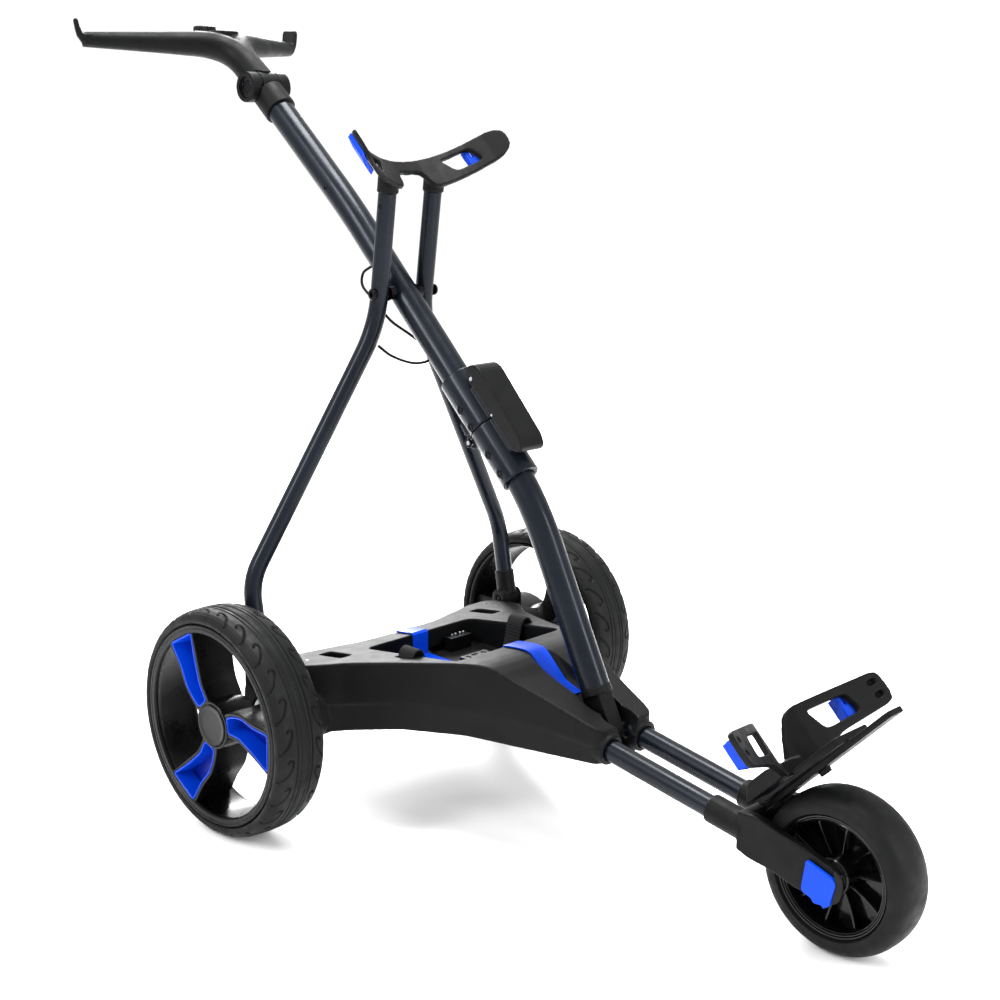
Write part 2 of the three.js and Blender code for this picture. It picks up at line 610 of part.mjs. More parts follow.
// Stays, from the feet up past the main tube to the upper bag support.
const pivotEnds = { inner: MAIN_TUBE_R + 0.8, outer: STAY_TOP_Y - STAY_R - GAP };
sides.forEach(([side, sign]) => {
  const path = bentPath([
    [9.4, sign * STAY_TOP_Y, 741], [-10.4, sign * STAY_TOP_Y, 582.5],
    [-42, sign * STAY_FOOT_Y, 287], [-24.8, sign * STAY_FOOT_Y, 196],
  ], [40, 26]);
  const stay = pipe(path, STAY_R, 14, 24);
  const boltHole = pinY(STAY_PIVOT, Math.min(sign * 20, sign * 60), Math.max(sign * 20, sign * 60), 4.3);
  add(`${side}_stay`, cut(stay, boltHole), 'tube');
  const eye = [sign * 199.4, sign * 224.6];
  const trunnion = [sign * 195.4, sign * 228.6];
  const foot = join(
    rod([-24.2, sign * STAY_FOOT_Y, 190], [-30.2, sign * STAY_FOOT_Y, 222], 13, ROUND),
    pinY(FOOT_PIVOT, Math.min(...eye), Math.max(...eye), 12, ROUND),
    pinY(FOOT_PIVOT, Math.min(...trunnion), Math.max(...trunnion), 4, ROUND),
  );
  add(`${side}_stay_foot`, cut(foot, pipe(path, STAY_R + GAP, 14, 24)), 'moulding');
  const spacer = [sign * pivotEnds.inner, sign * pivotEnds.outer];
  const bolt = [sign * pivotEnds.inner, sign * 49.5];
  const head = [sign * 48.3, sign * 51.5];
  add(`${side}_stay_bolt`, join(
    pinY(STAY_PIVOT, Math.min(...spacer), Math.max(...spacer), 9),
    pinY(STAY_PIVOT, Math.min(...bolt), Math.max(...bolt), 4),
    pinY(STAY_PIVOT, Math.min(...head), Math.max(...head), 7),
  ), 'zinc');
});

// Upper bag support.
const upperU = (y) => 556 + 0.0045 * y * y;
const upperCurve = [];
for (let i = 0; i <= 6; i += 1) {
  upperCurve.push([i * 20, upperU(i * 20)]);
}
const upperWhole = mirrorY(upperCurve).slice(0, -1).concat(upperCurve);
const upperOutline = rounded([
  [-108, -543], [108, -543], [119, -534], [119, -511], [110, -502], [24, -499], [20, -526], [-20, -526],
  [-24, -499], [-110, -502], [-119, -511], [-119, -534],
], 10);
const upperWindow = rounded([[48, -534], [84, -534], [91, -512], [60, -512]], 5);

function upperSupport() {
  const band = bagSection(halfBand(upperWhole, 7), -550, -490);
  const shaped = band.intersect(bagOutline(upperOutline, 500, 660));
  const sockets = sides.map(([, sign]) => {
    const y = sign * STAY_TOP_Y;
    return rod([9.8, y, 741.4], [12.6, y, 765], 13, ROUND);
  });
  const above = bagSection(
    upperWhole.concat([[120, 680], [-120, 680]]), -560, -480,
  );
  const merged = join(shaped, ...sockets.map((socket) => cut(socket, above)));
  return cut(merged, bagOutline(upperWindow, 500, 660), bagOutline(mirrorY(upperWindow), 500, 660));
}
add('upper_bag_support', upperSupport(), 'moulding');
const upperClipCurve = [82, 100, 116].map((y) => [y, upperU(y) - 7]);
sides.forEach(([side, sign]) => {
  add(`${side}_upper_clip`, armClip(upperClipCurve, 8, -538, -507, sign), 'accent');
});

// Height adjuster: a barrel across the top of the tube, clamped by a bolt.
const stemLine = (t) => [BARREL[0] - 66 * t, BARREL[1] + 60.5 * t];
const tubeEnd = [-236, 834];
const collar = cut(
  join(rod(at(tubeEnd, 0), at([-262, 856.3], 0), 20.5, ROUND), pinY(BARREL, -13.6, 13.6, 19.5, ROUND)),
  upperTube,
  pinY(BARREL, -14, 14, 5.5),
  pipe(upperPath, MAIN_TUBE_R + GAP, ROUND, 6),
  pinY(BARREL, -30, -13.9, 21.5, ROUND),
  pinY(BARREL, 13.9, 30, 21.5, ROUND),
);
add('height_collar', collar, 'moulding');
add('barrel_bolt', pinY(BARREL, -24, 24, 5.2), 'zinc');

function handleStem() {
  const cheeks = sides.map(([, sign]) => {
    const y = [sign * 14, sign * 30];
    const recess = [sign * 24.4, sign * 31];
    return cut(
      pinY(BARREL, Math.min(...y), Math.max(...y), 19.5, ROUND),
      pinY(BARREL, Math.min(...recess), Math.max(...recess), 13.5, ROUND),
    );
  });
  const stem = cut(
    rod(at(stemLine(0.15), 0), at(stemLine(0.98), 0), 18, ROUND, 17),
    pinY(BARREL, -13.9, 13.9, 21, ROUND),
  );
  const bridges = sides.map(([, sign]) => {
    const y = [sign * 14, sign * 24];
    const [x, z] = stemLine(0.55);
    return sideProfile([
      [BARREL[0] - 19, BARREL[1] + 2], [x - 6, z - 6], [x + 6, z + 6], [BARREL[0] - 2, BARREL[1] + 19],
      BARREL,
    ],
    Math.min(...y), Math.max(...y));
  });
  return cut(join(stem, ...cheeks, ...bridges), pinY(BARREL, -30, 30, 5.5));
}

const HUB = [-337, 922];
function handleBar() {
  const arms = sides.map(([, sign]) => join(
    rod(at(HUB, 0), [-431, sign * 168, 921.5], 15, ROUND, 9.5),
    rod([-431, sign * 168, 921.5], [-431.5, sign * 169.5, 922], 9.5, ROUND),
    sideProfile(rounded([[-424, 913], [-437, 913], [-452, 946], [-448, 949], [-438, 947], [-420, 926]], 3),
      Math.min(sign * 162, sign * 178), Math.max(sign * 162, sign * 178)),
  ));
  const head = plan(rounded([[-326, -20], [-326, 20], [-404, 22], [-418, 12], [-418, -12], [-404, -22]], 8),
    908, 938);
  return join(...arms, head);
}
add('handle_bar', join(handleStem(), handleBar()), 'moulding');
add('speed_dial', cut(
  rod([-398, 0, 938.3], [-398, 0, 945], 15, ROUND, 14),
  rod([-398, -11, 944.4], [-398, -11, 946], 1.6, 12),
), 'gloss');

// Control cable, looped out of the upper tube, round the stay pivot and into the right stay.
const cableRoute = [
  [-49, -13, 649], [-56, -19, 641], [-53, -22.6, 626], [-34, -22.2, 611], [-22, -20.5, 600], [-10, -13, 585],
  [6, 0, 571], [24, 12, 556], [36, 14, 546], [38, 0, 540], [24, -12, 538], [2, -24, 545], [-16, -30, 556],
];
const cablePoints = cableRoute.map((p) => new THREE.Vector3(...p));
const cablePath = new THREE.CatmullRomCurve3(cablePoints, false, 'centripetal');
add('control_cable', pipe(cablePath, 1.75, 8, 44), 'cable');

// The origin is the centre of the footprint, on the ground.
const bounds = new THREE.Box3().setFromObject(trolley);
trolley.position.set(-(bounds.min.x + bounds.max.x) / 2, 0, 0);

export default trolley;
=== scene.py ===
import json
import math

import bmesh
import bpy
import numpy as np
from mathutils import Matrix, Vector

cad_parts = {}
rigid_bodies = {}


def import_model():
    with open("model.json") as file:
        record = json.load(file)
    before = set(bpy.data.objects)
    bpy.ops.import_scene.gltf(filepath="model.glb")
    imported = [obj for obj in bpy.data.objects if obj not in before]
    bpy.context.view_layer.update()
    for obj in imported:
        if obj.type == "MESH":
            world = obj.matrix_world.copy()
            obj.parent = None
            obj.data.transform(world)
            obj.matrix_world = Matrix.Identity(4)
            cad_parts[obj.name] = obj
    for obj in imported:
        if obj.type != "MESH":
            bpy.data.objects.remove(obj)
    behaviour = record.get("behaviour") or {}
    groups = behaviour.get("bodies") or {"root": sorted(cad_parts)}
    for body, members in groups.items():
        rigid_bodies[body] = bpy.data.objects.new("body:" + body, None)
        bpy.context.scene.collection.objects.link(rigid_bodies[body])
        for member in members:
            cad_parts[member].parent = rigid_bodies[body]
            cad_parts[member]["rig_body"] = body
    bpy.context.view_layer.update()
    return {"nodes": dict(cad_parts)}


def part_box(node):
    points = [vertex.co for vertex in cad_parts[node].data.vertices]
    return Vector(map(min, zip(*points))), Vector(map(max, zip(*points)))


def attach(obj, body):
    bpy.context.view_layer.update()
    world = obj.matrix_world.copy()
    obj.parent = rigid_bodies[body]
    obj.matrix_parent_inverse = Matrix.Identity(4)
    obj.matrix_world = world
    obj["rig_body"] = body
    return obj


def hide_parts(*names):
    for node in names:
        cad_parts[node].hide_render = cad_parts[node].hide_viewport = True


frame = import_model()

# Units and the places that the pieces are measured from.
MM = 0.001
tyre_low, tyre_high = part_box("right_tyre")
WHEEL_X = -7
ORIGIN_X = (tyre_low.x + tyre_high.x) / 2 - WHEEL_X * MM
AXLE_Z = (tyre_low.z + tyre_high.z) / 2 / MM
REAR_R = (tyre_high.z - tyre_low.z) / 2 / MM
REAR_Y = -(tyre_low.y + tyre_high.y) / 2 / MM
front_low, front_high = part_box("front_tyre")
FRONT_X = ((front_low.x + front_high.x) / 2 - ORIGIN_X) / MM
FRONT_R = (front_high.z - front_low.z) / 2 / MM

# The trolley's own dimensions, in millimetres from the middle of the rear beam and the ground.
MAIN_R = 17.5
STAY_R = 11
STAY_TOP_Y = 36.9
STAY_FOOT_Y = 212
LEG_R = 12.5
LEG_Y = 29.3
SPLIT = (145, 473)
TUBE_DIR = (0.7086, -0.7056)
TUBE_UP = (0.7056, 0.7086)
BAG_SLOPE = math.radians(46)
BARREL = (-272, 864.5)
STAY_PIVOT = (-3, 621)
KNEE_PIVOT = (127, 454)
PIVOT_FOOT = (-24, 185)
PIVOT_BASE = (345, 150)
DIAL_X = -398
SIDES = (("right", -1), ("left", 1))


def place(points):
    """Millimetres from the rear beam, as an array in the frame's metres."""
    return np.asarray(points, float) * MM + np.array([ORIGIN_X, 0, 0])


def on_tube(s, n, y=0):
    """A point s along the main tube from its split, n above its line."""
    return (SPLIT[0] + s * TUBE_DIR[0] + n * TUBE_UP[0], y, SPLIT[1] + s * TUBE_DIR[1] + n * TUBE_UP[1])


def bag_point(y, u, a):
    """A point in the bag's own frame: y across, u off the bag's base line, a down its length."""
    c, s = math.cos(BAG_SLOPE), math.sin(BAG_SLOPE)
    return (u * c + a * s, y, u * s - a * c)


# ---- Materials ----

def preset(node, values):
    """Sets a node's inputs by name."""
    for name, value in values.items():
        node.inputs[name].default_value = value


def node_material(name, base, roughness, metallic=0.0, coat=0.0, sheen=0.0, specular=0.15):
    """A material with its node tree and its main shader."""
    material = bpy.data.materials.new(name)
    material.use_nodes = True
    shader = material.node_tree.nodes["Principled BSDF"]
    preset(shader, {"Base Color": (*base, 1), "Roughness": roughness, "Metallic": metallic,
                    "Coat Weight": coat, "Coat Roughness": 0.12, "Sheen Weight": sheen,
                    "Specular IOR Level": specular})
    return material, material.node_tree, shader


def noise(tree, scale, detail=4.0, distortion=0.0, stretch=None):
    """A noise texture on the piece's own coordinates."""
    coords = tree.nodes.new("ShaderNodeTexCoord")
    texture = tree.nodes.new("ShaderNodeTexNoise")
    preset(texture, {"Scale": scale, "Detail": detail, "Distortion": distortion})
    source = coords.outputs["Object"]
    if stretch:
        mapping = tree.nodes.new("ShaderNodeMapping")
        mapping.inputs["Scale"].default_value = stretch
        tree.links.new(source, mapping.inputs["Vector"])
        source = mapping.outputs["Vector"]
    tree.links.new(source, texture.inputs["Vector"])
    return texture.outputs["Fac"]


def roughen(tree, shader, value, low, high):
    """Runs the shader's roughness from low to high along the middle of a texture's values."""
    remap = tree.nodes.new("ShaderNodeMapRange")
    preset(remap, {"From Min": 0.35, "From Max": 0.65, "To Min": low, "To Max": high})
    tree.links.new(value, remap.inputs["Value"])
    tree.links.new(remap.outputs["Result"], shader.inputs["Roughness"])


def tint(tree, shader, value, dark, light):
    """Colours the shader from dark to light along a texture's value."""
    ramp = tree.nodes.new("ShaderNodeValToRGB")
    ramp.color_ramp.elements[0].color = (*dark, 1)
    ramp.color_ramp.elements[0].position = 0.3
    ramp.color_ramp.elements[1].color = (*light, 1)
    ramp.color_ramp.elements[1].position = 0.72
    tree.links.new(value, ramp.inputs["Fac"])
    tree.links.new(ramp.outputs["Color"], shader.inputs["Base Color"])


def bump(tree, shader, layers):
    """Stacks bump layers, each (height, strength, distance in metres)."""
    normal = None
    for height, strength, distance in layers:
        node = tree.nodes.new("ShaderNodeBump")
        preset(node, {"Strength": strength, "Distance": distance})
        tree.links.new(height, node.inputs["Height"])
        if normal:
            tree.links.new(normal, node.inputs["Normal"])
        normal = node.outputs["Normal"]
    tree.links.new(normal, shader.inputs["Normal"])


def powder_coat():
    """Blue-black powder coat: a fine orange peel under a satin sheen, a little polished in places."""
    base = (0.004, 0.0056, 0.009)
    material, tree, shader = node_material("powder_coat", base, 0.3, metallic=0.3, coat=0.08)
    tint(tree, shader, noise(tree, 9, 5), (0.0035, 0.005, 0.008), (0.0058, 0.0082, 0.0135))
    roughen(tree, shader, noise(tree, 45, 6), 0.25, 0.36)
    bump(tree, shader, [(noise(tree, 1400, 2), 0.1, 0.0002)])
    return material


def moulded_plastic(name, base, roughness, grain, light=1.8, shine=0.12, cloud=0.06):
    """Glass-filled moulding: a leathery micro grain, with faint scuffs and cloudy gloss."""
    material, tree, shader = node_material(name, base, roughness, specular=shine)
    lighter = tuple(c * light for c in base)
    tint(tree, shader, noise(tree, 14, 8, 0.4), base, lighter)
    roughen(tree, shader, noise(tree, 60, 8), roughness - cloud, roughness + cloud)
    bump(tree, shader, [(noise(tree, 2300, 3), grain, 0.00035), (noise(tree, 520, 2), grain * 0.5, 0.0004)])
    return material


def gloss_plastic(name, base, roughness, shine):
    """Polished plastic, with flow marks and a few hairline scratches."""
    material, tree, shader = node_material(name, base, roughness, coat=0.06, specular=shine)
    lighter = tuple(c * 1.35 for c in base)
    tint(tree, shader, noise(tree, 6, 3), base, lighter)
    scratches = noise(tree, 240, 6, 1.5, stretch=(1, 0.06, 1))
    roughen(tree, shader, scratches, roughness - 0.03, roughness + 0.1)
    bump(tree, shader, [(noise(tree, 30, 2), 0.04, 0.001), (scratches, 0.03, 0.0002)])
    return material


def tyre_rubber():
    """Dusty rubber, greyer where it has rubbed."""
    material, tree, shader = node_material("tyre_rubber", (0.003, 0.003, 0.0032), 0.5, specular=0.12)
    tint(tree, shader, noise(tree, 22, 9, 0.5), (0.0028, 0.0029, 0.0031), (0.005, 0.0052, 0.0056))
    roughen(tree, shader, noise(tree, 75, 8), 0.46, 0.66)
    bump(tree, shader, [(noise(tree, 900, 5), 0.28, 0.0004), (noise(tree, 130, 3), 0.12, 0.0007)])
    return material


def webbing():
    """Woven polyester tape: ribs across it and a finer twill along it."""
    material, tree, shader = node_material("webbing", (0.004, 0.004, 0.0045), 0.85, sheen=0.04)
    coords = tree.nodes.new("ShaderNodeTexCoord")
    ribs = []
    for direction, scale in (("Y", 420), ("X", 260)):
        wave = tree.nodes.new("ShaderNodeTexWave")
        wave.bands_direction = direction
        preset(wave, {"Scale": scale, "Distortion": 0.4})
        tree.links.new(coords.outputs["Object"], wave.inputs["Vector"])
        ribs.append(wave.outputs["Fac"])
    tint(tree, shader, ribs[0], (0.003, 0.003, 0.0034), (0.009, 0.009, 0.01))
    bump(tree, shader, [(ribs[0], 0.6, 0.0004), (ribs[1], 0.35, 0.0003), (noise(tree, 1800, 4), 0.3, 0.0002)])
    return material


def brushed_metal(name, base, roughness):
    """Turned or brushed metal with fine lines round it and a light bloom."""
    material, tree, shader = node_material(name, base, roughness, metallic=1.0)
    lines = noise(tree, 900, 4, 0.2, stretch=(1, 0.05, 1))
    tint(tree, shader, noise(tree, 40, 5), tuple(c * 0.8 for c in base), base)
    roughen(tree, shader, lines, roughness - 0.08, roughness + 0.12)
    bump(tree, shader, [(lines, 0.12, 0.0001)])
    return material


def circuit_board():
    """Green solder mask, mottled and slightly uneven."""
    material, tree, shader = node_material("circuit_board", (0.02, 0.12, 0.05), 0.5)
    tint(tree, shader, noise(tree, 320, 2), (0.012, 0.08, 0.03), (0.03, 0.17, 0.07))
    bump(tree, shader, [(noise(tree, 420, 2), 0.2, 0.0003)])
    return material


paint = {
    "tube": powder_coat(),
    "moulding": moulded_plastic("textured_moulding", (0.0016, 0.0017, 0.0019), 0.5, 0.3, shine=0.1),
    "deck": moulded_plastic("deck_moulding", (0.0017, 0.0018, 0.002), 0.5, 0.4, shine=0.1, cloud=0.03),
    "satin": moulded_plastic("satin_moulding", (0.0015, 0.0016, 0.0018), 0.34, 0.08, shine=0.13),
    "rim": moulded_plastic("rim_plastic", (0.0012, 0.0012, 0.0014), 0.3, 0.05, shine=0.12),
    "gloss": gloss_plastic("gloss_black", (0.001, 0.001, 0.0012), 0.12, shine=0.2),
    "accent": gloss_plastic("royal_blue", (0.0, 0.032, 0.37), 0.36, shine=0.1),
    # A darker copy of the royal blue, used on the trays' recessed floors as painted shade.
    "accent_painted_shade": gloss_plastic("painted_shade_blue", (0.0, 0.008, 0.17), 0.38, shine=0.1),
    "tyre": tyre_rubber(),
    "webbing": webbing(),
    "steel": brushed_metal("brushed_steel", (0.4, 0.41, 0.43), 0.34),
    "dark_metal": brushed_metal("black_zinc", (0.012, 0.012, 0.015), 0.32),
    "board": circuit_board(),
    "mark": gloss_plastic("white_mark", (0.5, 0.5, 0.5), 0.4, shine=0.2),
    "cable": moulded_plastic("cable_jacket", (0.0015, 0.0015, 0.0017), 0.45, 0.1),
}


# ---- Making pieces ----

def linked(name, data):
    """A new object in the scene."""
    obj = bpy.data.objects.new(name, data)
    bpy.context.scene.collection.objects.link(obj)
    return obj


def piece(name, mesh, finish, body, angle=32):
    """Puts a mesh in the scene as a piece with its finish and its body."""
    obj = linked(name, mesh)
    mesh.materials.clear()
    mesh.materials.append(paint[finish])
    mesh.shade_smooth()
    mesh.set_sharp_from_angle(angle=math.radians(angle))
    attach(obj, body)
    return obj


def mesh_of(name, verts, faces):
    """A mesh in the frame's metres, its faces turned outwards, from verts in millimetres."""
    mesh = bpy.data.meshes.new(name)
    mesh.from_pydata([tuple(v) for v in place(verts)], [], faces)
    work = bmesh.new()
    work.from_mesh(mesh)
    bmesh.ops.recalc_face_normals(work, faces=work.faces)
    work.to_mesh(mesh)
    work.free()
    return mesh


def loft(loops, wrap=False):
    """Verts and faces of a skin over closed loops, capped at its ends or wrapped round to its start."""
    loops = np.asarray(loops, float)
    count, around, _ = loops.shape
    faces = []
    for i in range(count if wrap else count - 1):
        j = (i + 1) % count
        for a in range(around):
            b = (a + 1) % around
            faces.append((i * around + a, i * around + b, j * around + b, j * around + a))
    if not wrap:
        faces.append(tuple(reversed(range(around))))
        faces.append(tuple((count - 1) * around + a for a in range(around)))
    return loops.reshape(-1, 3), faces


def lofted(name, shape, finish, body, replaced=()):
    """A piece from verts and faces in millimetres, in place of any CAD nodes named."""
    obj = piece(name, mesh_of(name, *shape), finish, body)
    if replaced:
        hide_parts(*replaced)
    return obj


def unit(way):
    return way / np.linalg.norm(way)


def turns(around):
    """Equal angles round a circle."""
    return np.linspace(0, 2 * math.pi, around, endpoint=False)


def square_to(way):
    """Two directions square to a way and to each other."""
    side = unit(np.cross(way, (0, 0, 1) if abs(way[2]) < 0.9 else (1, 0, 0)))
    return side, np.cross(side, way)


def bend(start, corner, end, steps):
    """Points round a corner, from start to end."""
    return [(1 - t) ** 2 * start + 2 * t * (1 - t) * corner + t * t * end
            for t in (k / steps for k in range(steps + 1))]


def joined(parts):
    """One mesh's verts and faces from several lofts."""
    verts, faces = [], []
    for part_verts, part_faces in parts:
        start = len(verts)
        verts.extend(part_verts)
        faces.extend(tuple(start + i for i in face) for face in part_faces)
    return verts, faces


def bent(points, reaches, steps=12):
    """A route of straight runs joined by bends that start the given distance from each corner."""
    corners = [np.asarray(p, float) for p in points]
    route = [corners[0]]
    for i in range(1, len(corners) - 1):
        back = corners[i - 1] - corners[i]
        ahead = corners[i + 1] - corners[i]
        enter = corners[i] + unit(back) * reaches[i - 1]
        leave = corners[i] + unit(ahead) * reaches[i - 1]
        route += bend(enter, corners[i], leave, steps)
    route.append(corners[-1])
    return np.array(route)


def swept(route, widths, heights=None, around=40, up=(0, 0, 1)):
    """Loops of an ellipse carried along a route: its width lies across up, its height along it."""
    route = np.asarray(route, float)
    heights = widths if heights is None else heights
    angles = turns(around)
    ahead = np.gradient(route, axis=0)
    ahead /= np.linalg.norm(ahead, axis=1)[:, None]
    loops = []
    for i, point in enumerate(route):
        side = unit(np.cross(ahead[i], up))
        rise = np.cross(side, ahead[i])
        wide, high = side * widths[i], rise * heights[i]
        loops.append([point + wide * math.cos(t) + high * math.sin(t) for t in angles])
    return loops


def rod_loops(start, end, radius, around=40, edge=0.6):
    """Loops of a round bar with softened ends."""
    a, b = np.asarray(start, float), np.asarray(end, float)
    way = unit(b - a)
    side, rise = square_to(way)
    route = [a, a + way * edge, b - way * edge, b]
    angles = turns(around)
    radii = [radius - edge, radius, radius, radius - edge]
    return [[p + (side * math.cos(t) + rise * math.sin(t)) * r for t in angles] for p, r in zip(route, radii)]


def tube(name, points, reaches, radius, body, replaced):
    """A coated tube with a bend of the given reach at each inner point."""
    route = bent(points, reaches)
    up = (0, 1, 0) if abs(route[0][1] - route[-1][1]) < 1 else (1, 0, 0)
    loops = swept(route, [radius] * len(route), around=48, up=up)
    lofted(name, loft(loops), "tube", body, [replaced])


def lathe_loops(profile, around, centre):
    """Loops of a shape turned about the Y axis, one loop for each profile point."""
    angles = turns(around)
    cx, cy, cz = centre
    return [[(cx + r * math.cos(t), cy + y, cz + r * math.sin(t)) for t in angles] for r, y in profile]


def turned(profile, around, centre=(0, 0, 0)):
    """A closed profile of (radius, across) points turned about the Y axis."""
    return loft(lathe_loops(profile, around, centre), wrap=True)


def resample(points, step):
    """An open line of points with extra ones so that none is further apart than step."""
    out = [points[0]]
    for a, b in zip(points, points[1:]):
        count = max(1, int(math.ceil(math.dist(a, b) / step)))
        out.extend(tuple(np.array(a) + (np.array(b) - np.array(a)) * k / count) for k in range(1, count + 1))
    return out


def rounded(points, reach, steps=4):
    """A closed outline with its corners rounded, each by the same number of points."""
    out = []
    for i, corner in enumerate(points):
        corner = np.array(corner, float)
        back = np.array(points[i - 1], float) - corner
        ahead = np.array(points[(i + 1) % len(points)], float) - corner
        r = min(reach, np.linalg.norm(back) * 0.45, np.linalg.norm(ahead) * 0.45)
        out += bend(corner + unit(back) * r, corner, corner + unit(ahead) * r, steps)
    return np.array(out)


def inset(outline, depth):
    """A closed outline moved inwards, point by point along its corner's bisector."""
    points = np.asarray(outline, float)
    before = points - np.roll(points, 1, axis=0)
    after = np.roll(points, -1, axis=0) - points
    before /= np.maximum(np.linalg.norm(before, axis=1), 1e-9)[:, None]
    after /= np.maximum(np.linalg.norm(after, axis=1), 1e-9)[:, None]
    ahead = before + after
    ahead /= np.linalg.norm(ahead, axis=1)[:, None]
    area = np.sum(points[:, 0] * np.roll(points[:, 1], -1) - np.roll(points[:, 0], -1) * points[:, 1])
    inward = np.stack([-ahead[:, 1], ahead[:, 0]], 1) * (1 if area > 0 else -1)
    lean = np.maximum(np.sum(ahead * before, axis=1), 0.5)
    return points + inward * (depth / lean)[:, None]


def helper(mesh):
    """An object that only serves a boolean or a skin, and is removed after it."""
    return linked("helper", mesh)


def solid(shape):
    """A helper solid for a boolean, from verts and faces in millimetres."""
    return helper(mesh_of("solid", *shape))


def prism(outline, low, high, axis):
    """A helper solid: an outline carried along Y (from X-Z points) or along Z (from X-Y points)."""
    if axis == "Y":
        loops = [[(x, y, z) for x, z in outline] for y in (low, high)]
    else:
        loops = [[(x, y, z) for x, y in outline] for z in (low, high)]
    return solid(loft(loops))


def combine(base, tool, operation):
    """Gives a solid a boolean with a tool."""
    modifier = base.modifiers.new("join", "BOOLEAN")
    modifier.object = tool
    modifier.operation = operation
    modifier.solver = "MANIFOLD"


def worked_out(base, tools):
    """A helper's mesh with its modifiers applied. It and its tools are removed."""
    bpy.context.view_layer.update()
    graph = bpy.context.evaluated_depsgraph_get()
    mesh = bpy.data.meshes.new_from_object(base.evaluated_get(graph))
    for tool in (base, *tools):
        bpy.data.objects.remove(tool)
    return mesh


def skin(base, adds=(), cuts=(), voxel=1.2, smooth=6, keep=1.0):
    """Joins and cuts solids, then runs a skin over the result with its edges and corners softened."""
    for tools, operation in ((adds, "UNION"), (cuts, "DIFFERENCE")):
        for tool in tools:
            combine(base, tool, operation)
    remesh = base.modifiers.new("skin", "REMESH")
    remesh.mode = "VOXEL"
    remesh.voxel_size = voxel * MM
    soften = base.modifiers.new("soften", "SMOOTH")
    soften.factor = 0.5
    soften.iterations = smooth
    if keep < 1:
        thin = base.modifiers.new("thin", "DECIMATE")
        thin.ratio = keep
    mesh = worked_out(base, [*adds, *cuts])
    if not mesh.polygons:
        raise ValueError("a moulded piece came out empty")
    return mesh


def clipped(obj, region):
    """The overlap of two helpers, as a new one."""
    combine(obj, region, "INTERSECT")
    return helper(worked_out(obj, [region]))


def cad_copy(node):
    """A helper with a CAD node's shape, its corners welded."""
    mesh = frame["nodes"][node].data.copy()
    work = bmesh.new()
    work.from_mesh(mesh)
    bmesh.ops.remove_doubles(work, verts=work.verts, dist=1e-6)
    work.to_mesh(mesh)
    work.free()
    return helper(mesh)


def moulded(node, finish, voxel=1.0, smooth=6, adds=(), cuts=()):
    """Stands for a moulded CAD node: the same shape with its edges and corners run round, as from a tool."""
    mesh = skin(cad_copy(node), adds, cuts, voxel, smooth, keep=0.5)
    obj = piece(node + "_shape", mesh, finish, frame["nodes"][node]["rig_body"], angle=60)
    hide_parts(node)
    return obj


def rod(start, end, radius):
    """A helper solid: a round bar."""
    return solid(loft(rod_loops(start, end, radius, 48, 0.01)))


def block(x, y, z, reach=0.0):
    """A helper solid: a box from ranges of X, Y and Z, its upright corners rounded."""
    outline = [(x[0], y[0]), (x[1], y[0]), (x[1], y[1]), (x[0], y[1])]
    return prism(rounded(outline, reach) if reach else outline, z[0], z[1], "Z")


def ribbon(name, path, across, width, thick, finish, body, replaced=()):
    """A flat band along a path: its width lies along across, its thickness square to it and the path."""
    route = np.asarray(path, float)
    across = np.asarray(across, float)
    ahead = np.gradient(route, axis=0)
    section = rounded([(-width / 2, -thick / 2), (width / 2, -thick / 2), (width / 2, thick / 2),
                       (-width / 2, thick / 2)], thick * 0.45, 3)
    loops = []
    for point, way in zip(route, ahead):
        normal = unit(np.cross(way, across))
        loops.append([point + across * a + normal * b for a, b in section])
    return lofted(name, loft(loops), finish, body, replaced)


def turned_piece(name, start, way, profile, finish, body, replaced=(), around=48, hexagon=None):
    """A turned piece from (along, radius) points. Its hexagonal recess is (from, depth, radius)."""
    way = unit(np.asarray(way, float))
    side, rise = square_to(way)
    angles = turns(around)
    start = np.asarray(start, float)
    loops = [[start + way * a + (side * math.cos(t) + rise * math.sin(t)) * r for t in angles]
             for a, r in profile]
    if hexagon:
        top, depth, reach = hexagon
        corner = [reach * math.cos(math.pi / 6) / math.cos(t % (math.pi / 3) - math.pi / 6) for t in angles]
        for a in (top, top - depth):
            loops.append([start + way * a + (side * math.cos(t) + rise * math.sin(t)) * r
                          for t, r in zip(angles, corner)])
    return lofted(name, loft(loops), finish, body, replaced)


def socket_screw(name, spot, way, radius, body, sink=2.0, proud=1.4):
    """A socket-head screw, its head standing proud along way."""
    profile = [(-sink, radius), (proud - 0.5, radius), (proud - 0.15, radius - 0.15), (proud, radius - 0.5)]
    return turned_piece(name, spot, way, profile, "dark_metal", body,
                        hexagon=(proud, min(proud + sink * 0.5, 1.8), radius * 0.55))


# ---- Rear wheels ----

PITCH = math.radians(15)
SIPE = [(2, 32), (4.5, 27.6), (10, 22.4), (16.5, 18.6), (22.5, 16.4), (27, 16.2), (29.4, 18), (29.2, 20.6),
        (26.6, 22.4)]


def distance_to_line(s, y, line, period):
    """Distance to a line that repeats round the tyre every period."""
    best = np.full(np.broadcast(s, y).shape, 1e9)
    for (s0, y0), (s1, y1) in zip(line, line[1:]):
        for shift in (-period, 0, period):
            ds, dy = s1 - s0, y1 - y0
            t = np.clip(((s - s0 - shift) * ds + (y - y0) * dy) / (ds * ds + dy * dy), 0, 1)
            best = np.minimum(best, np.hypot(s - s0 - shift - t * ds, y - y0 - t * dy))
    return best


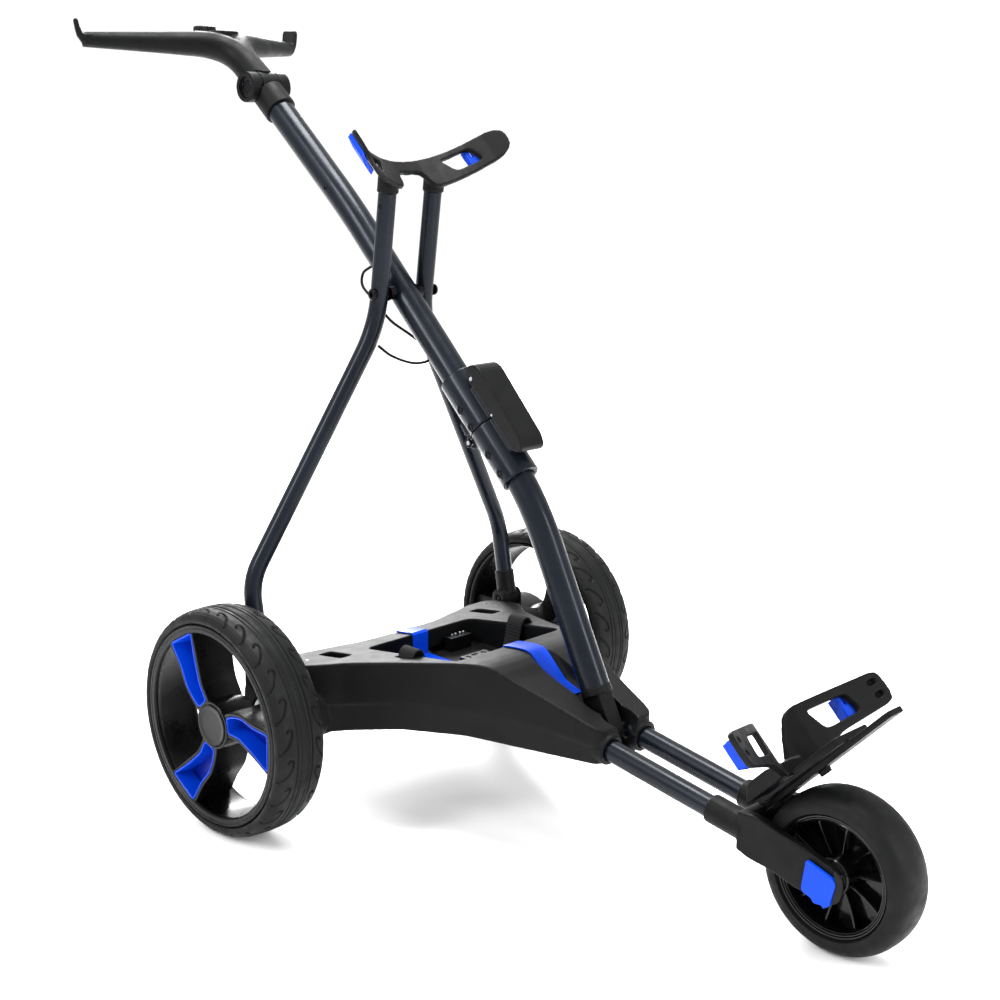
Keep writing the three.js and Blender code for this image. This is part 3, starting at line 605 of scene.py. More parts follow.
def tread_depth(angle, y):
    """How far the tread is cut below the tyre's outer skin, in millimetres."""
    depth = np.zeros(np.broadcast(angle, y).shape)
    for groove, wide in ((-10.5, 0.8), (-5.2, 1.5), (5.2, 1.5), (10.5, 0.8)):
        depth = np.maximum(depth, 1.3 * np.exp(-((y - groove) / wide) ** 4))
    for groove in (-1.5, 1.5):
        depth = np.maximum(depth, 0.5 * np.exp(-((y - groove) / 0.5) ** 2))
    period = PITCH * REAR_R
    for sign, lead in ((-1, 0.0), (1, 0.5)):
        s = (angle * REAR_R + lead * period) % period
        gap = distance_to_line(s, sign * y, SIPE, period)
        depth = np.maximum(depth, 1.9 * np.clip(1.35 - gap, 0, 0.6) / 0.6)
        lip = np.exp(-((gap - 2.2) / 0.6) ** 2)
        depth = depth - 0.35 * lip * (np.abs(y) > 13) * (depth < 0.2)
        notch = np.clip((sign * y - 27.5) / 2, 0, 1) * np.clip(2.6 - np.abs(s - 3), 0, 1)
        depth = np.maximum(depth, 2.4 * notch)
    return depth


def rear_tyre_loops():
    """The tyre's section carried round, with the tread cut into it and a plain inner face."""
    outer = [(121, -27), (121.2, -31), (122.6, -33), (124.6, -33.6), (126.8, -33.4), (129.2, -32.4),
             (132, -29.6), (134.2, -25.4), (135.8, -19), (136.7, -10), (137, 0)]
    outer += [(r, -y) for r, y in reversed(outer[:-1])]
    dense = resample(outer, 0.9)
    around = 624
    angles = turns(around)
    loops = []
    for r, y in dense:
        cut = tread_depth(angles, np.full(around, y)) * np.clip((r - 128.5) / 2.5, 0, 1)
        radius = r - cut
        loops.append(np.stack([radius * np.cos(angles), np.full(around, y), radius * np.sin(angles)], 1))
    for r, y in ((120.9, 22), (120.9, -22)):
        loops.append(np.stack([r * np.cos(angles), np.full(around, y), r * np.sin(angles)], 1))
    return loops


SPOKE = [(18, 19), (38, 25.5), (56, 28.2), (80, 23.8), (114, 24), (114, -31), (77, -17), (49, -6.7), (18, -8)]
TRAY = [(25, 16.6), (40, 22), (56, 24.5), (80, 20), (110, 20.4), (109, -26.6), (78, -13), (50, -3),
        (28.4, -3.6)]
HUB_FACE = -27.2
RING_FACE = -32.2


def spoke_loops(turn, levels):
    """Loops round a spoke, turned about the hub. A level is (outline, depth, share of the face's dish)."""
    c, s = math.cos(turn), math.sin(turn)
    loops = []
    for outline, depth, share in levels:
        reach = np.clip((np.hypot(outline[:, 0], outline[:, 1]) - 30) / 80, 0, 1)
        face = HUB_FACE + (RING_FACE - HUB_FACE) * reach ** 1.3
        y = share * (face + depth) + (1 - share) * depth
        loops.append(np.column_stack([outline[:, 0] * c - outline[:, 1] * s, y,
                                      outline[:, 0] * s + outline[:, 1] * c]))
    return loops


def rear_rim_parts():
    """The three spokes, the blue trays set in them and the trays' floors, whose darker blue is painted shade
    at the bottom of the trays' deep recesses.
    """
    spoke = rounded(SPOKE, 9)
    tray = rounded(TRAY, 6)
    shells, trays, floors = [], [], []
    for i in range(3):
        turn = math.radians(120 * i)
        shells.append(loft(spoke_loops(turn, [
            (inset(spoke, 2), 21, 0), (inset(spoke, 0.6), 20.4, 0), (spoke, 1.6, 1),
            (inset(spoke, 0.3), 0.6, 1), (inset(spoke, 1.1), 0, 1), (inset(tray, -0.6), 0, 1),
            (inset(tray, -0.15), 0.5, 1), (tray, -6, 0),
        ])))
        trays.append(loft(spoke_loops(turn, [
            (inset(tray, 0.3), -6, 0), (inset(tray, 0.3), 0.2, 1), (inset(tray, 0.7), -0.4, 1),
            (inset(tray, 1.9), -0.4, 1), (inset(tray, 2.4), 0.1, 1), (inset(tray, 3.0), 5, 1),
            (inset(tray, 4.4), -9.6, 0),
        ])))
        floors.append(loft(spoke_loops(turn, [
            (inset(tray, 4.5), -8.6, 0), (inset(tray, 4.5), -9.8, 0), (inset(tray, 5.6), -10.2, 0),
        ])))
    return shells, trays, floors


RING = [(109.6, -29.4), (110.2, -31.6), (111.6, -32.9), (115.4, -33), (116.2, -32.4), (117, -32.4),
        (117.8, -33), (119.4, -32.8), (120.5, -31.4), (120.5, 29.4), (119, 30.6), (116.6, 30.6), (114, 27),
        (113.4, 23), (113.4, -22), (112, -25), (110.2, -27)]
LINER = [(110.6, -26.2), (112.9, -22), (113.0, 22), (113.8, 26.6), (114.3, 26.6), (113.3, 22), (113.3, -21)]
HUB = [(0.5, -24.8), (24.8, -24.8), (25.1, -27.8), (25.8, -28.4), (27.8, -28.4), (28.6, -27.6), (29, -18),
       (29, 6), (26, 17), (6.5, 17), (6.5, -10), (0.5, -10)]
CAP = [(0.5, -28.7), (17, -28.8), (20.6, -29), (22.4, -29.6), (23.6, -29.5), (24.4, -28.8), (24.4, -25.6),
       (0.5, -25.6)]


def wheel_point(sign, points):
    """Wheel coordinates, outer face towards -Y, as frame millimetres on one side of the trolley."""
    p = np.asarray(points, float).reshape(-1, 3)
    flip = -1 if sign > 0 else 1
    return np.stack([p[:, 0] * flip + WHEEL_X, p[:, 1] * flip + sign * REAR_Y, p[:, 2] + AXLE_Z], 1)


def rear_wheel(side, sign):
    def fit(name, shape, finish, replaced=()):
        verts, faces = shape
        lofted(f"{side}_{name}", (wheel_point(sign, verts), faces), finish, f"{side}_wheel", replaced)

    shells, trays, floors = rear_rim_parts()
    ring = turned(RING, 160)
    fit("tread", loft(rear_tyre_loops(), wrap=True), "tyre", [f"{side}_tyre"])
    fit("rim_moulding", joined([ring] + shells), "rim", [f"{side}_rim"])
    fit("rim_barrel", turned(LINER, 160), "rim")
    fit("hub", turned(HUB, 96), "rim")
    fit("cap", turned(CAP, 96), "satin", [f"{side}_hub_cap"])
    fit("spoke_trays", joined(trays), "accent", [f"{side}_rim_accent"])
    # The tray floors take the darker blue: painted shade at the bottom of the recesses.
    fit("tray_floors", joined(floors), "accent_painted_shade")


# ---- Front wheel ----

def front_tyre_section():
    """A rounded crown between two flat beads, as (radius, across) points."""
    rim = 67
    steps = 40
    points = []
    for i in range(steps + 1):
        across = -math.cos(math.pi * i / steps)
        bulge = (1 - abs(across) ** 2.5) ** (1 / 2.5)
        points.append((rim + (FRONT_R - rim) * bulge, across * 29))
    return points + [(65.4, 25.5), (65.4, -25.5)]


def front_blade(turn):
    """One thin blade of the front rim, from its hub to its ring."""
    c, s = math.cos(turn), math.sin(turn)
    inner, outer, thick = 17, 58, 1.5
    loops = []
    for r in (inner, 24, 34, 46, outer):
        share = (r - inner) / (outer - inner)
        lean = 1.5 * math.sin(share * math.pi)
        half = 12 + share * 3
        section = rounded([(-half, lean - thick), (half, lean - thick), (half, lean + thick),
                           (-half, lean + thick)], 1.5, 3)
        loops.append([(FRONT_X + r * c - w * s, y, FRONT_R + r * s + w * c) for y, w in section])
    return loft(loops)


def front_wheel():
    centre = (FRONT_X, 0, FRONT_R)
    lofted("front_tread", turned(front_tyre_section(), 160, centre), "tyre",
           "front_wheel", ["front_tyre"])
    lip = [(56, 8), (57, 20), (58.4, 23.4), (59.2, 23.8), (60, 23.2), (60.6, 24.6), (61.6, 24.8),
           (62.2, 24.2), (62.8, 25.8), (64.2, 26), (65, 25.2)]
    ring = [(r, -y) for r, y in reversed(lip)] + lip
    hub = [(16.2, -24), (18.6, -24.6), (20, -23.4), (20, 23.4), (18.6, 24.6), (16.2, 24)]
    web = [(19, -1.5), (34, -2.5), (57, -1.5), (57, 1.5), (34, 0.5), (19, 1.5)]
    parts = [turned(profile, around, centre)
             for profile, around in ((ring, 144), (hub, 72), (web, 96))]
    parts += [front_blade(math.radians(36 * i + 8)) for i in range(10)]
    lofted("front_rim_moulding", joined(parts), "gloss", "front_wheel", ["front_rim"])


# ---- Tubes and stays ----

def tubes():
    tube("lower_mast_tube", [on_tube(0.6, 0), (216, 0, 405), (321.5, 0, 196)], [62], MAIN_R, "lower_mast",
         "lower_tube")
    tube("upper_mast_tube", [on_tube(-0.6, 0), (-100, 0, 717), (-252, 0, 847.8)], [40], MAIN_R, "upper_mast",
         "upper_tube")
    for side, sign in SIDES:
        tube(f"{side}_stay_tube", [
            (9.4, sign * STAY_TOP_Y, 741), (-10.4, sign * STAY_TOP_Y, 582.5),
            (-42, sign * STAY_FOOT_Y, 287), (-24.8, sign * STAY_FOOT_Y, 196),
        ], [40, 26], STAY_R, "stays", f"{side}_stay")
        leg = rod_loops((354, sign * LEG_Y, 144.7), (560, sign * LEG_Y, 110.1), LEG_R, 48)
        lofted(f"{side}_leg", loft(leg), "tube", "chassis", [f"{side}_leg_tube"])


# ---- Cable ----

CABLE = [
    (-49, -13, 649), (-56, -19, 641), (-53, -22.6, 626), (-34, -22.2, 611), (-22, -20.5, 600),
    (-10, -13, 585), (6, 0, 571), (24, 12, 556), (36, 14, 546), (38, 0, 540), (24, -12, 538),
    (2, -24, 545), (-16, -30, 556),
]


def smooth_route(points, per_span=8):
    """A Catmull-Rom line through the points."""
    p = [np.array(q, float) for q in points]
    p = [2 * p[0] - p[1]] + p + [2 * p[-1] - p[-2]]
    route = []
    for a, b, c, d in zip(p, p[1:], p[2:], p[3:]):
        for k in range(per_span):
            t = k / per_span
            route.append(0.5 * (2 * b + (c - a) * t + (2 * a - 5 * b + 4 * c - d) * t * t
                                + (3 * b - a - 3 * c + d) * t ** 3))
    route.append(p[-2])
    return np.array(route)


def cable():
    route = smooth_route(CABLE)
    loops = swept(route, [1.7] * len(route), around=16, up=(0.3, 0.2, 1))
    lofted("cable_loop", loft(loops), "cable", "upper_mast", ["control_cable"])


# ---- Handle ----

def handle_arm(sign):
    """The stem and one arm: a thick oval that thins out towards the arm's tip."""
    points = [(BARREL[0] - 4, 0, BARREL[1] + 4), (-341, 0, 919), (-431, sign * 168, 921.5)]
    route = resample(bent(points, [46], 16), 9)
    travel = np.cumsum([0] + [math.dist(a, b) for a, b in zip(route, route[1:])])
    travel /= travel[-1]
    widths = np.interp(travel, (0, 0.36, 0.62, 1), (20, 19, 14.5, 10))
    heights = np.interp(travel, (0, 0.36, 0.62, 1), (20, 17.6, 13.8, 9.6))
    return loft(swept(route, widths, heights, around=32))


def handle_horn(sign):
    """The upturned stop at the tip of one arm."""
    out = np.array([-94, sign * 168, 0]) / math.hypot(94, 168)
    across = np.array([out[1], -out[0], 0])
    tip = np.array([-428, sign * 162.6, 921.5])
    steps = [(-6, 0), (4, 1), (9, 6), (11.5, 14), (13.2, 22), (14, 25.6)]
    line = np.array([tip + out * along + (0, 0, rise) for along, rise in steps])
    wide = [9.4, 9.8, 10.6, 11, 11, 9.6]
    thick = [8, 6.4, 4.2, 3.4, 3.0, 2.4]
    loops = []
    for point, way, w, h in zip(line, np.gradient(line, axis=0), wide, thick):
        normal = unit(np.cross(way, across))
        section = rounded([(-w, -h), (w, -h), (w, h), (-w, h)], 3.4, 3)
        loops.append([point + across * a + normal * b for a, b in section])
    return loft(loops)


def handle():
    """The stem sweeps up from the barrel and divides into two arms that end in upturned stops."""
    middle = (BARREL[0], 0, BARREL[1])
    tools = []
    for _, sign in SIDES:
        tools += [handle_arm(sign), handle_horn(sign)]
    for _, sign in SIDES:
        tools.append(loft(lathe_loops([(19.4, y) for y in sorted((sign * 14.2, sign * 30))], 64, middle)))
    head = rounded([(-345, -19), (-345, 19), (-400, 19), (-416, 10), (-416, -10), (-400, -19)], 8)
    tools.append(loft([[(x, y, z) for x, y in head] for z in (919, 937.6)]))

    def across(y0, y1, radius, around=64):
        return rod_loops((BARREL[0], y0, BARREL[1]), (BARREL[0], y1, BARREL[1]), radius, around, 0.01)

    hollow = [across(s * 24.6, s * 31, 13.6) for _, s in SIDES]
    hollow += [across(-14, 14, 20.6), rod_loops(middle, (-238, 0, 835.5), 20.9, 64, 0.01),
               across(-30.6, 30.6, 5.5, 32)]
    objects = [solid(part) for part in tools]
    cutters = [solid(loft(loops)) for loops in hollow]
    mesh = skin(objects[0], objects[1:], cutters, voxel=1.1, smooth=7, keep=0.5)
    obj = piece("handle_moulding", mesh, "moulding", "handle", angle=60)
    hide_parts("handle_bar")


def barrel_ends():
    """A stepped ring round the bolt head in each end of the tilt barrel."""
    ring = [(8.5, 24.8), (13.2, 24.8), (13.2, 26.4), (12.8, 26.8), (11, 26.8), (10.7, 26.4), (10.5, 25.6),
            (8.5, 25.6)]
    for side, sign in SIDES:
        shape = turned([(r, y * sign) for r, y in ring], 64, (BARREL[0], 0, BARREL[1]))
        lofted(f"{side}_barrel_ring", shape, "gloss", "handle")


def speed_dial():
    """A knob with a finely ridged edge and a white mark on its rim."""
    around = 288
    angles = turns(around)
    loops = []
    for z, r, ridge in ((938.35, 14.2, 0), (938.8, 14.9, 0.4), (942.8, 14.6, 0.5), (944.2, 13.9, 0.3),
                        (944.9, 12.6, 0), (944.9, 9.5, 0), (944.3, 8.6, 0)):
        radius = r + ridge * np.cos(24 * angles)
        x, y = DIAL_X + radius * np.cos(angles), radius * np.sin(angles)
        loops.append(np.stack([x, y, np.full(around, z)], 1))
    lofted("dial_knob", loft(loops), "satin", "dial", ["speed_dial"])
    turned_piece("dial_mark", (DIAL_X, -11.1, 944.6), (0, 0, 1), [(0, 0.9), (0.3, 0.9), (0.4, 0.7)], "mark",
                 "dial", around=24)


# ---- Chassis ----

DECK_HALF = [(-12, 60), (-38, 142), (-38, 190), (20, 190), (46, 170), (62, 155), (94, 139), (126, 124),
             (173, 105), (208, 91), (239, 81.5), (270, 72.5), (300, 63), (372, 47)]
DECK_TOP = [(-60, 179), (0, 187.5), (100, 202), (190, 214.6), (214, 217), (226, 217), (236, 215.6),
            (248, 211.6), (262, 205.2), (300, 191.5), (372, 166), (400, 156)]
CREASE = [(-60, 140), (62, 144), (126, 156.5), (186, 161.5), (248, 160), (321, 153), (376, 145), (400, 141)]
LOWER_EDGE = [(-60, 100), (-40, 100), (40, 104), (120, 118), (200, 124), (300, 122), (372, 124), (400, 125)]


def leg_line(x):
    """Height of a leg tube's middle line at x."""
    return 142.5 - (x - 367) * 0.1677


def leg_rod(sign, x0, x1, radius):
    """A helper solid: a round bar along a leg tube's line."""
    return rod((x0, sign * LEG_Y, leg_line(x0)), (x1, sign * LEG_Y, leg_line(x1)), radius)


def rod_y(x, z, y0, y1, radius):
    """A helper solid: a round bar across the trolley."""
    return rod((x, min(y0, y1), z), (x, max(y0, y1), z), radius)


def chassis_body():
    """The deck and its sides: full to the crease, then drawn in towards the underside."""
    half = rounded([(-8, -1), *DECK_HALF, (372, -1)], 16)
    ring = [p for p in half if p[1] > 0.5]
    plan_outline = np.array(ring + [(x, -y) for x, y in reversed(ring)])
    top = prism(plan_outline, 100, 240, "Z")
    upper = clipped(top, prism(DECK_TOP + list(reversed(CREASE)), -230, 230, "Y"))
    tucked = inset(plan_outline, 11)
    levels = ((plan_outline, 200), (plan_outline, 160), (tucked, 100), (tucked, 90))
    skirt = solid(loft([[(x, y, z) for x, y in outline] for outline, z in levels]))
    lower = clipped(skirt, prism(CREASE + list(reversed(LOWER_EDGE)), -230, 230, "Y"))
    return helper(skin(upper, [lower], (), voxel=2.0, smooth=3))


def chassis_shell():
    """The deck moulding with its rear beam, leg sockets, stay ears, battery well and front channel."""
    beam = rounded([(-38, 100), (-38, 160), (-28, 172), (20, 172), (44, 152), (44, 114), (32, 100)], 11)
    adds = [prism(beam, -228.6, 228.6, "Y")]
    base = (PIVOT_BASE[0], 0, PIVOT_BASE[1])
    cuts = [
        prism([(290, 262), (318, 128), (365, 128), (382, 134), (382, 262)], -11.6, 11.6, "Y"),
        rod(base, (262, 0, 324), 21.5),
        rod(base, (425, 0, 260), 22.5),
        block((26, 187), (-90, 90), (160, 262), 14),
        block((-33, 27), (-190, 190), (96, 166)),
        prism([(20, -120), (110, -104), (190, -66), (190, 66), (110, 104), (20, 120)], 90, 150, "Z"),
        rod_y(*PIVOT_BASE, -24, 24, 5.3),
    ]
    channel = []
    for x, w, floor in ((230, 17, 217.6), (246, 17.2, 202.6), (264, 17.5, 185), (290, 17, 176.5),
                        (312, 16, 168), (350, 14, 150), (384, 13, 141)):
        section = rounded([(-w, floor), (w, floor), (w + 9, floor + 60), (-w - 9, floor + 60)], 9)
        channel.append([(x, y, z) for y, z in section])
    cuts.append(solid(loft(channel)))
    x, z = PIVOT_FOOT
    ear = rounded([(x - 12, 150), (x - 12, z + 6), (x - 6, z + 12), (x + 6, z + 12), (x + 12, z + 6),
                   (x + 12, 150)], 7)
    for _, sign in SIDES:
        adds.append(rod((300, sign * LEG_Y, 152.5), (374, sign * LEG_Y, 141.8), 18.3))
        for y0, y1 in ((195, 198.6), (225.4, 229)):
            adds.append(prism(ear, *sorted((sign * y0, sign * y1)), "Y"))
        cuts += [
            block((-6, 36), sorted((sign * 121, sign * 139)), (168, 240), 4),
            block((97, 125), sorted((sign * 98, sign * 106)), (165, 240), 3),
            leg_rod(sign, 353, 400, LEG_R + 0.4),
            rod_y(WHEEL_X, AXLE_Z, sign * 180, sign * 232, 14.4),
            rod_y(*PIVOT_FOOT, sign * 190, sign * 232, 4.5),
            rod_y(*PIVOT_FOOT, sign * 198.6, sign * 225.4, 13.8),
        ]
    mesh = skin(chassis_body(), adds, cuts, voxel=1.4, smooth=3, keep=0.5)
    obj = piece("chassis_moulding", mesh, "deck", "chassis", angle=60)
    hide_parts("chassis_shell")


def deck_band():
    """The blue band: over the deck, down through the battery well and out into the front channel."""
    band = [(-4, 188.6), (12, 190.6), (25.2, 192.6), (27.4, 190.8), (27.8, 186), (27.8, 166), (28.2, 162.4),
            (31, 161.5), (60, 161.4), (120, 161.4), (180, 161.4), (184.4, 161.9), (185.3, 165), (185.3, 205),
            (185.6, 212.6), (188, 215.6), (200, 217.2), (214, 218.6), (224, 218.7), (231, 217.4),
            (238, 211.8), (248, 202.2), (258, 192.6), (264, 187), (272, 183.6), (290, 178)]
    ribbon("deck_band", [(x, 0, z) for x, z in resample(band, 6)], (0, 1, 0), 26, 2, "accent", "chassis",
           ["accent_band"])


def battery_strap():
    """The webbing across the well, its ends looped over the deck, and its buckle."""
    strap_x = 112.5
    half = [(103, 196), (102.6, 204), (100, 210), (95, 213), (89, 212), (84.5, 206), (82.3, 197), (79.6, 183),
            (75, 171), (66, 165.4), (52, 163.9), (20, 163.6)]
    line = [(strap_x, -y, z) for y, z in half] + [(strap_x, 0, 163.6)]
    line += [(strap_x, y, z) for y, z in reversed(half)]
    ribbon("strap", smooth_route(line, 4), (1, 0, 0), 25, 2, "webbing", "chassis",
           ["battery_strap"])
    moulded("strap_buckle", "satin", voxel=0.7, smooth=7, cuts=[
        block((100, 126), (10, 15), (172, 176)), block((100, 126), (37, 42), (172, 176)),
        block((99, 127), (20, 32), (174.2, 180), 2)])
    for y in (12.5, 39.5):
        bar = rod_loops((99, y, 172.6), (127, y, 172.6), 1.7, 24)
        lofted(f"buckle_bar_{int(y)}", loft(bar), "dark_metal", "chassis")


def chassis():
    chassis_shell()
    deck_band()
    battery_strap()
    for index, y in enumerate((48, 54, 62, 68)):
        turned_piece(f"contact_{index}", (36, y, 178), (0, 0, 1), [(0, 1.6), (2.4, 1.6), (3, 1.1)], "steel",
                     "chassis", around=24)
    moulded("battery_connector", "satin", voxel=0.7, smooth=4)
    socket_screw("foot_screw", (304.4, -13.6, 212.4), (-0.5, -0.82, -0.26), 3.2, "lower_mast")
    head = [(0, 3.2), (2.1, 3.2), (2.7, 2.6), (2.9, 1.4)]
    for x, y in ((-20, 165), (-20, -165), (4, 165), (4, -165)):
        spot = (x, y, np.interp(x, *zip(*DECK_TOP)) - 2.4)
        turned_piece(f"deck_screw_{x + 20}_{'l' if y > 0 else 'r'}", spot, (0, 0, 1), head, "dark_metal",
                     "chassis", around=32)


# ---- Running gear ----

def running_gear():
    ring = [(6.6, 212), (14, 212), (14, 226.4), (13.4, 227), (8.6, 227), (8.2, 226), (6.6, 226)]
    for side, sign in SIDES:
        reach = 198 if sign < 0 else 168
        shaft = rod_loops((WHEEL_X, sign * (REAR_Y + 12), AXLE_Z),
                          (WHEEL_X, sign * (REAR_Y - reach), AXLE_Z), 6, 40)
        lofted(f"{side}_axle", loft(shaft), "steel", f"{side}_wheel", [f"{side}_axle_shaft"])
        bearing = turned([(r, y * sign) for r, y in ring], 64, (WHEEL_X, 0, AXLE_Z))
        lofted(f"{side}_bearing", bearing, "steel", "chassis",
               [f"{side}_axle_bearing"])
        moulded(f"{side}_release_tab", "dark_metal", voxel=0.4, smooth=5)
    bush = turned([(6.5, -25), (15.6, -25), (15.6, 25), (6.5, 25)], 64, (FRONT_X, 0, FRONT_R))
    lofted("front_bush", bush, "steel", "front_wheel", ["front_hub_bush"])
    pin = rod_loops((FRONT_X, -42.8, FRONT_R), (FRONT_X, 42.8, FRONT_R), 6, 40)
    lofted("front_pin", loft(pin), "steel", "chassis", ["front_axle"])
    moulded("front_fork", "moulding", voxel=0.9, smooth=7)
    cap = rounded([(645, 109), (677, 99), (681, 94), (675, 69), (668, 64), (666, 67), (656, 66), (654, 70),
                   (642, 74), (641, 79)], 2.4)
    tail = rounded([(676, 110), (687, 104), (689, 90), (685, 76), (676, 70), (680, 92)], 6)
    for side, sign in SIDES:
        clip = skin(prism(cap, *sorted((sign * 43.35, sign * 47.6)), "Y"), (), (), 0.5, 4, 0.5)
        obj = piece(f"{side}_clip_cap", clip, "accent", f"{side}_clip", angle=60)
        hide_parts(f"{side}_axle_clip")
        end = skin(prism(tail, *sorted((sign * 43.4, sign * 46.6)), "Y"), (), (), 0.5, 6, 0.5)
        piece(f"{side}_clip_end", end, "satin", f"{side}_clip", angle=60)


# ---- Hinge block, latch and feet ----

def clamp(node, body, spots, ends, knuckle):
    """One clamp half as a sleeve on the main tube, with a screw in a boss at each spot on both sides."""
    adds = [rod(on_tube(ends[0], 1.2), on_tube(ends[1], 1.2), 23.4)]
    for _, sign in SIDES:
        for s in spots:
            x, _, z = on_tube(s, -2)
            adds.append(rod_y(x, z, sign * 18, sign * 23.6, 6.2))
    room = [rod(on_tube(-120, 0), on_tube(120, 0), MAIN_R + 0.3), rod_y(*KNEE_PIVOT, *knuckle, 9.4),
            rod_y(*KNEE_PIVOT, -14.4, -8.1, 9.4)]
    moulded(node, "tube", voxel=0.8, smooth=6, adds=adds, cuts=room)
    for side, sign in SIDES:
        for index, s in enumerate(spots):
            x, _, z = on_tube(s, -2)
            socket_screw(f"{node}_{side}_screw_{index}", (x, sign * 23.2, z), (0, sign, 0), 4.3, body,
                         sink=0.6, proud=1.2)


def spindle(name, x, y, z, profile, body, replaced, around=48):
    """A plain steel pin across the trolley."""
    turned_piece(name, (x, y, z), (0, 1, 0), profile, "steel", body, [replaced], around=around)


def hinge_block():
    clamp("upper_clamp", "upper_mast", (-31.5, -6.5), (-74, -0.5), (-7.9, 7.9))
    clamp("lower_clamp", "lower_mast", (34.5, 61.5), (0.5, 76), (8.1, 14.4))
    moulded("latch_cover", "satin", voxel=0.8, smooth=9)
    x, _, z = on_tube(2, 31)
    for side, sign in SIDES:
        turned_piece(f"{side}_cover_stud", (x, sign * 18.2, z), (0, sign, 0),
                     [(0, 1.5), (0.9, 1.5), (1.2, 1.0)], "steel", "latch", around=32)
    x, _, z = on_tube(-50, 33)
    spindle("latch_spindle", x, -18.8, z, [(0, 2), (0.4, 2.5), (37.2, 2.5), (37.6, 2)], "upper_mast",
            "latch_pin", 32)
    x, z = KNEE_PIVOT
    spindle("knee_spindle", x, -15.9, z, [(0, 3), (0.8, 4), (31, 4), (31.8, 3)], "upper_mast", "knee_pin")
    for side, sign in SIDES:
        socket_screw(f"{side}_knee_head", (x, sign * 14.2, z), (0, sign, 0), 5.4, "upper_mast", sink=0.1,
                     proud=2)
    x, z = PIVOT_BASE
    spindle("base_spindle", x, -23.6, z, [(0, 4.4), (0.6, 5), (46.6, 5), (47.2, 4.4)], "chassis", "base_pin")


def mast_and_stay_fittings():
    """The feet of the tubes and stays, the stays' pivot bolts, the collar and the foot plate."""
    moulded("tube_foot", "moulding", voxel=0.7, smooth=5)
    x, z = STAY_PIVOT
    bolt = [(0, 9), (8, 9), (8, 4), (30.6, 4), (30.6, 6.4), (31, 7), (33, 7), (33.8, 6.2), (34, 5.6)]
    for side, sign in SIDES:
        moulded(f"{side}_stay_foot", "moulding", voxel=0.7, smooth=6)
        turned_piece(f"{side}_pivot_bolt", (x, sign * 18.3, z), (0, sign, 0), bolt, "dark_metal", "stays",
                     [f"{side}_stay_bolt"], hexagon=(34, 2.4, 3.6))
        socket_screw(f"{side}_stay_screw", (8.2, sign * 47.6, 725.3), (0, sign, 0), 3.0, "stays", sink=1.4,
                     proud=0.9)
    socket_screw("collar_screw", on_tube(-384, -3, -17.6), (0, -1, 0), 2.6, "upper_mast", sink=1, proud=0.9)
    sleeve = rod((-237, 0, 834.9), (-262, 0, 856.4), 21)
    mesh = skin(sleeve, [rod_y(*BARREL, -13.6, 13.6, 19.6)], [], voxel=0.7, smooth=6, keep=0.5)
    obj = piece("collar", mesh, "moulding", "upper_mast", angle=60)
    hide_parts("height_collar")
    moulded("foot_plate", "moulding", voxel=0.9, smooth=6)
    bolt = [(0, 7.4), (0.4, 8), (3.6, 8), (4, 5.2), (48, 5.2), (48.4, 8), (51.6, 8), (52, 7.4)]
    turned_piece("clamp_bolt", (BARREL[0], -26, BARREL[1]), (0, 1, 0), bolt, "dark_metal", "upper_mast",
                 ["barrel_bolt"], hexagon=(52, 3, 4))


# ---- Bag supports ----

def bag_block(y, u, a, reach):
    """A helper solid from ranges in the bag's frame, its corners rounded in the (y, a) plane."""
    outline = rounded([(y[0], a[0]), (y[1], a[0]), (y[1], a[1]), (y[0], a[1])], reach)
    return solid(loft([[bag_point(p, level, q) for p, q in outline] for level in u]))


def slots(sign, places, half_y, half_a, u, reach=2.0):
    """Helper solids that cut a slot at each (y, a) place."""
    return [bag_block(sorted((sign * (y - half_y), sign * (y + half_y))), u, (a - half_a, a + half_a), reach)
            for y, a in places]


def bag_supports():
    moulded("upper_bag_support", "moulding", voxel=1.0, smooth=8)
    holes = []
    for _, sign in SIDES:
        holes += slots(sign, ((119.5, 266), (119.5, 281)), 5, 3.4, (595, 640), 3)
    moulded("lower_cradle", "moulding", voxel=1.0, smooth=7, cuts=holes)
    pad_section = [(84.5, 560), (118, 575.6), (118, 589), (84.5, 573.6)]
    for side, sign in SIDES:
        moulded(f"{side}_upper_clip", "accent", voxel=0.8, smooth=7,
                cuts=slots(sign, ((88, -530), (110, -530)), 2.2, 7, (540, 660)))
        pad = [(sign * y, u) for y, u in (pad_section if sign > 0 else reversed(pad_section))]
        pad = solid(loft([[bag_point(y, u, a) for y, u in pad] for a in (259.5, 288.5)]))
        moulded(f"{side}_lower_clip", "accent", voxel=0.8, smooth=7, adds=[pad],
                cuts=slots(sign, ((90, 266), (112, 266)), 2, 6, (540, 640)))


def inner_parts():
    """The parts inside the chassis keep their CAD shapes and take real finishes."""
    for node, finish in (("drive_motor", "steel"), ("gearbox", "dark_metal"), ("controller_board", "board"),
                         ("undertray", "moulding")):
        data = frame["nodes"][node].data
        data.materials.clear()
        data.materials.append(paint[finish])


# ---- Staging ----

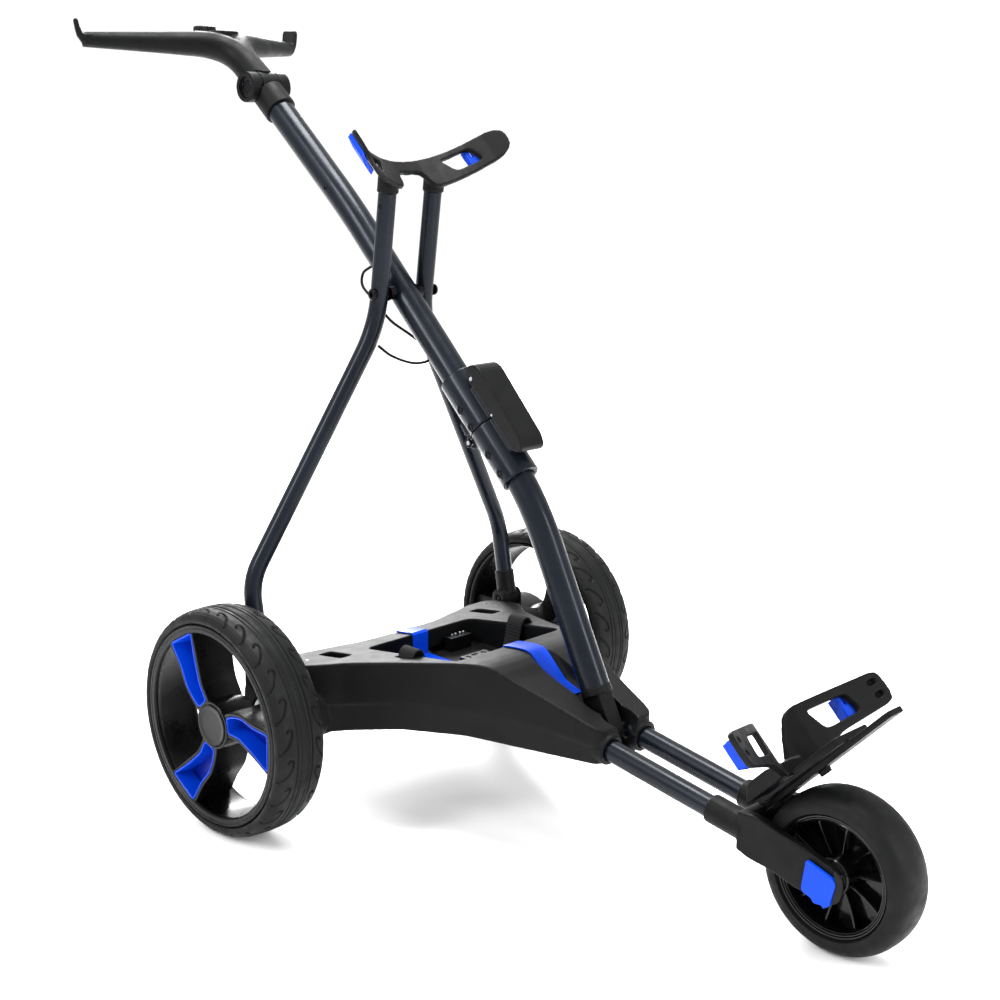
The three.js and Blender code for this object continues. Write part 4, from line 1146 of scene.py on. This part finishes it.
def camera_and_light():
    """The camera at the photographed angle, a white studio with four soft boxes, and the paper floor."""
    scene = bpy.context.scene
    eye = Vector(place([1455.27, -1330.11, 826.84]))
    yaw, pitch, roll = 2.34070345, -0.232123495, 0.012686982
    ahead = Vector((math.cos(yaw) * math.cos(pitch), math.sin(yaw) * math.cos(pitch), math.sin(pitch)))
    right = ahead.cross(Vector((0, 0, 1))).normalized()
    up = right.cross(ahead)
    right_rolled = right * math.cos(roll) + up * math.sin(roll)
    up_rolled = up * math.cos(roll) - right * math.sin(roll)
    basis = Matrix((right_rolled, up_rolled, -ahead)).transposed().to_4x4()
    basis.translation = eye
    data = bpy.data.cameras.new("camera")
    data.lens = 57.835
    data.sensor_width = 36
    data.clip_end = 50
    camera = linked("camera", data)
    camera.matrix_world = basis
    scene.camera = camera
    scene.view_settings.view_transform = "Standard"

    world = bpy.data.worlds.new("studio")
    world.use_nodes = True
    world.node_tree.nodes["Background"].inputs["Color"].default_value = (1, 1, 1, 1)
    world.node_tree.nodes["Background"].inputs["Strength"].default_value = 1.08
    scene.world = world

    def area(name, spot, target, size, power):
        light = bpy.data.lights.new(name, "AREA")
        light.shape = "RECTANGLE"
        light.size, light.size_y = size
        light.energy = power
        obj = linked(name, light)
        obj.location = spot
        obj.rotation_euler = (Vector(target) - Vector(spot)).to_track_quat("-Z", "Y").to_euler()

    area("top_softbox", (-0.3, 0.3, 3.2), (0, 0, 0.3), (1.2, 1.2), 150)
    area("key_softbox", (-0.6, -3.0, 2.6), (0, 0, 0.4), (0.6, 2.0), 95)
    area("front_strip", (3.2, 0.6, 1.6), (0, 0, 0.4), (0.4, 2.4), 80)
    area("rim_softbox", (-2.6, 1.8, 2.0), (0, 0, 0.5), (0.6, 2.4), 150)

    reach = 40
    verts = [(-reach, -reach, 0), (reach, -reach, 0), (reach, reach, 0), (-reach, reach, 0)]
    mesh = bpy.data.meshes.new("floor")
    mesh.from_pydata(verts, [], [(0, 1, 2, 3)])
    floor = linked("floor", mesh)
    mesh.materials.append(node_material("floor_paper", (0.98, 0.98, 0.98), 0.8)[0])


camera_and_light()
inner_parts()
for wheel_side, wheel_sign in SIDES:
    rear_wheel(wheel_side, wheel_sign)
front_wheel()
tubes()
cable()
handle()
barrel_ends()
speed_dial()
chassis()
running_gear()
hinge_block()
mast_and_stay_fittings()
bag_supports()
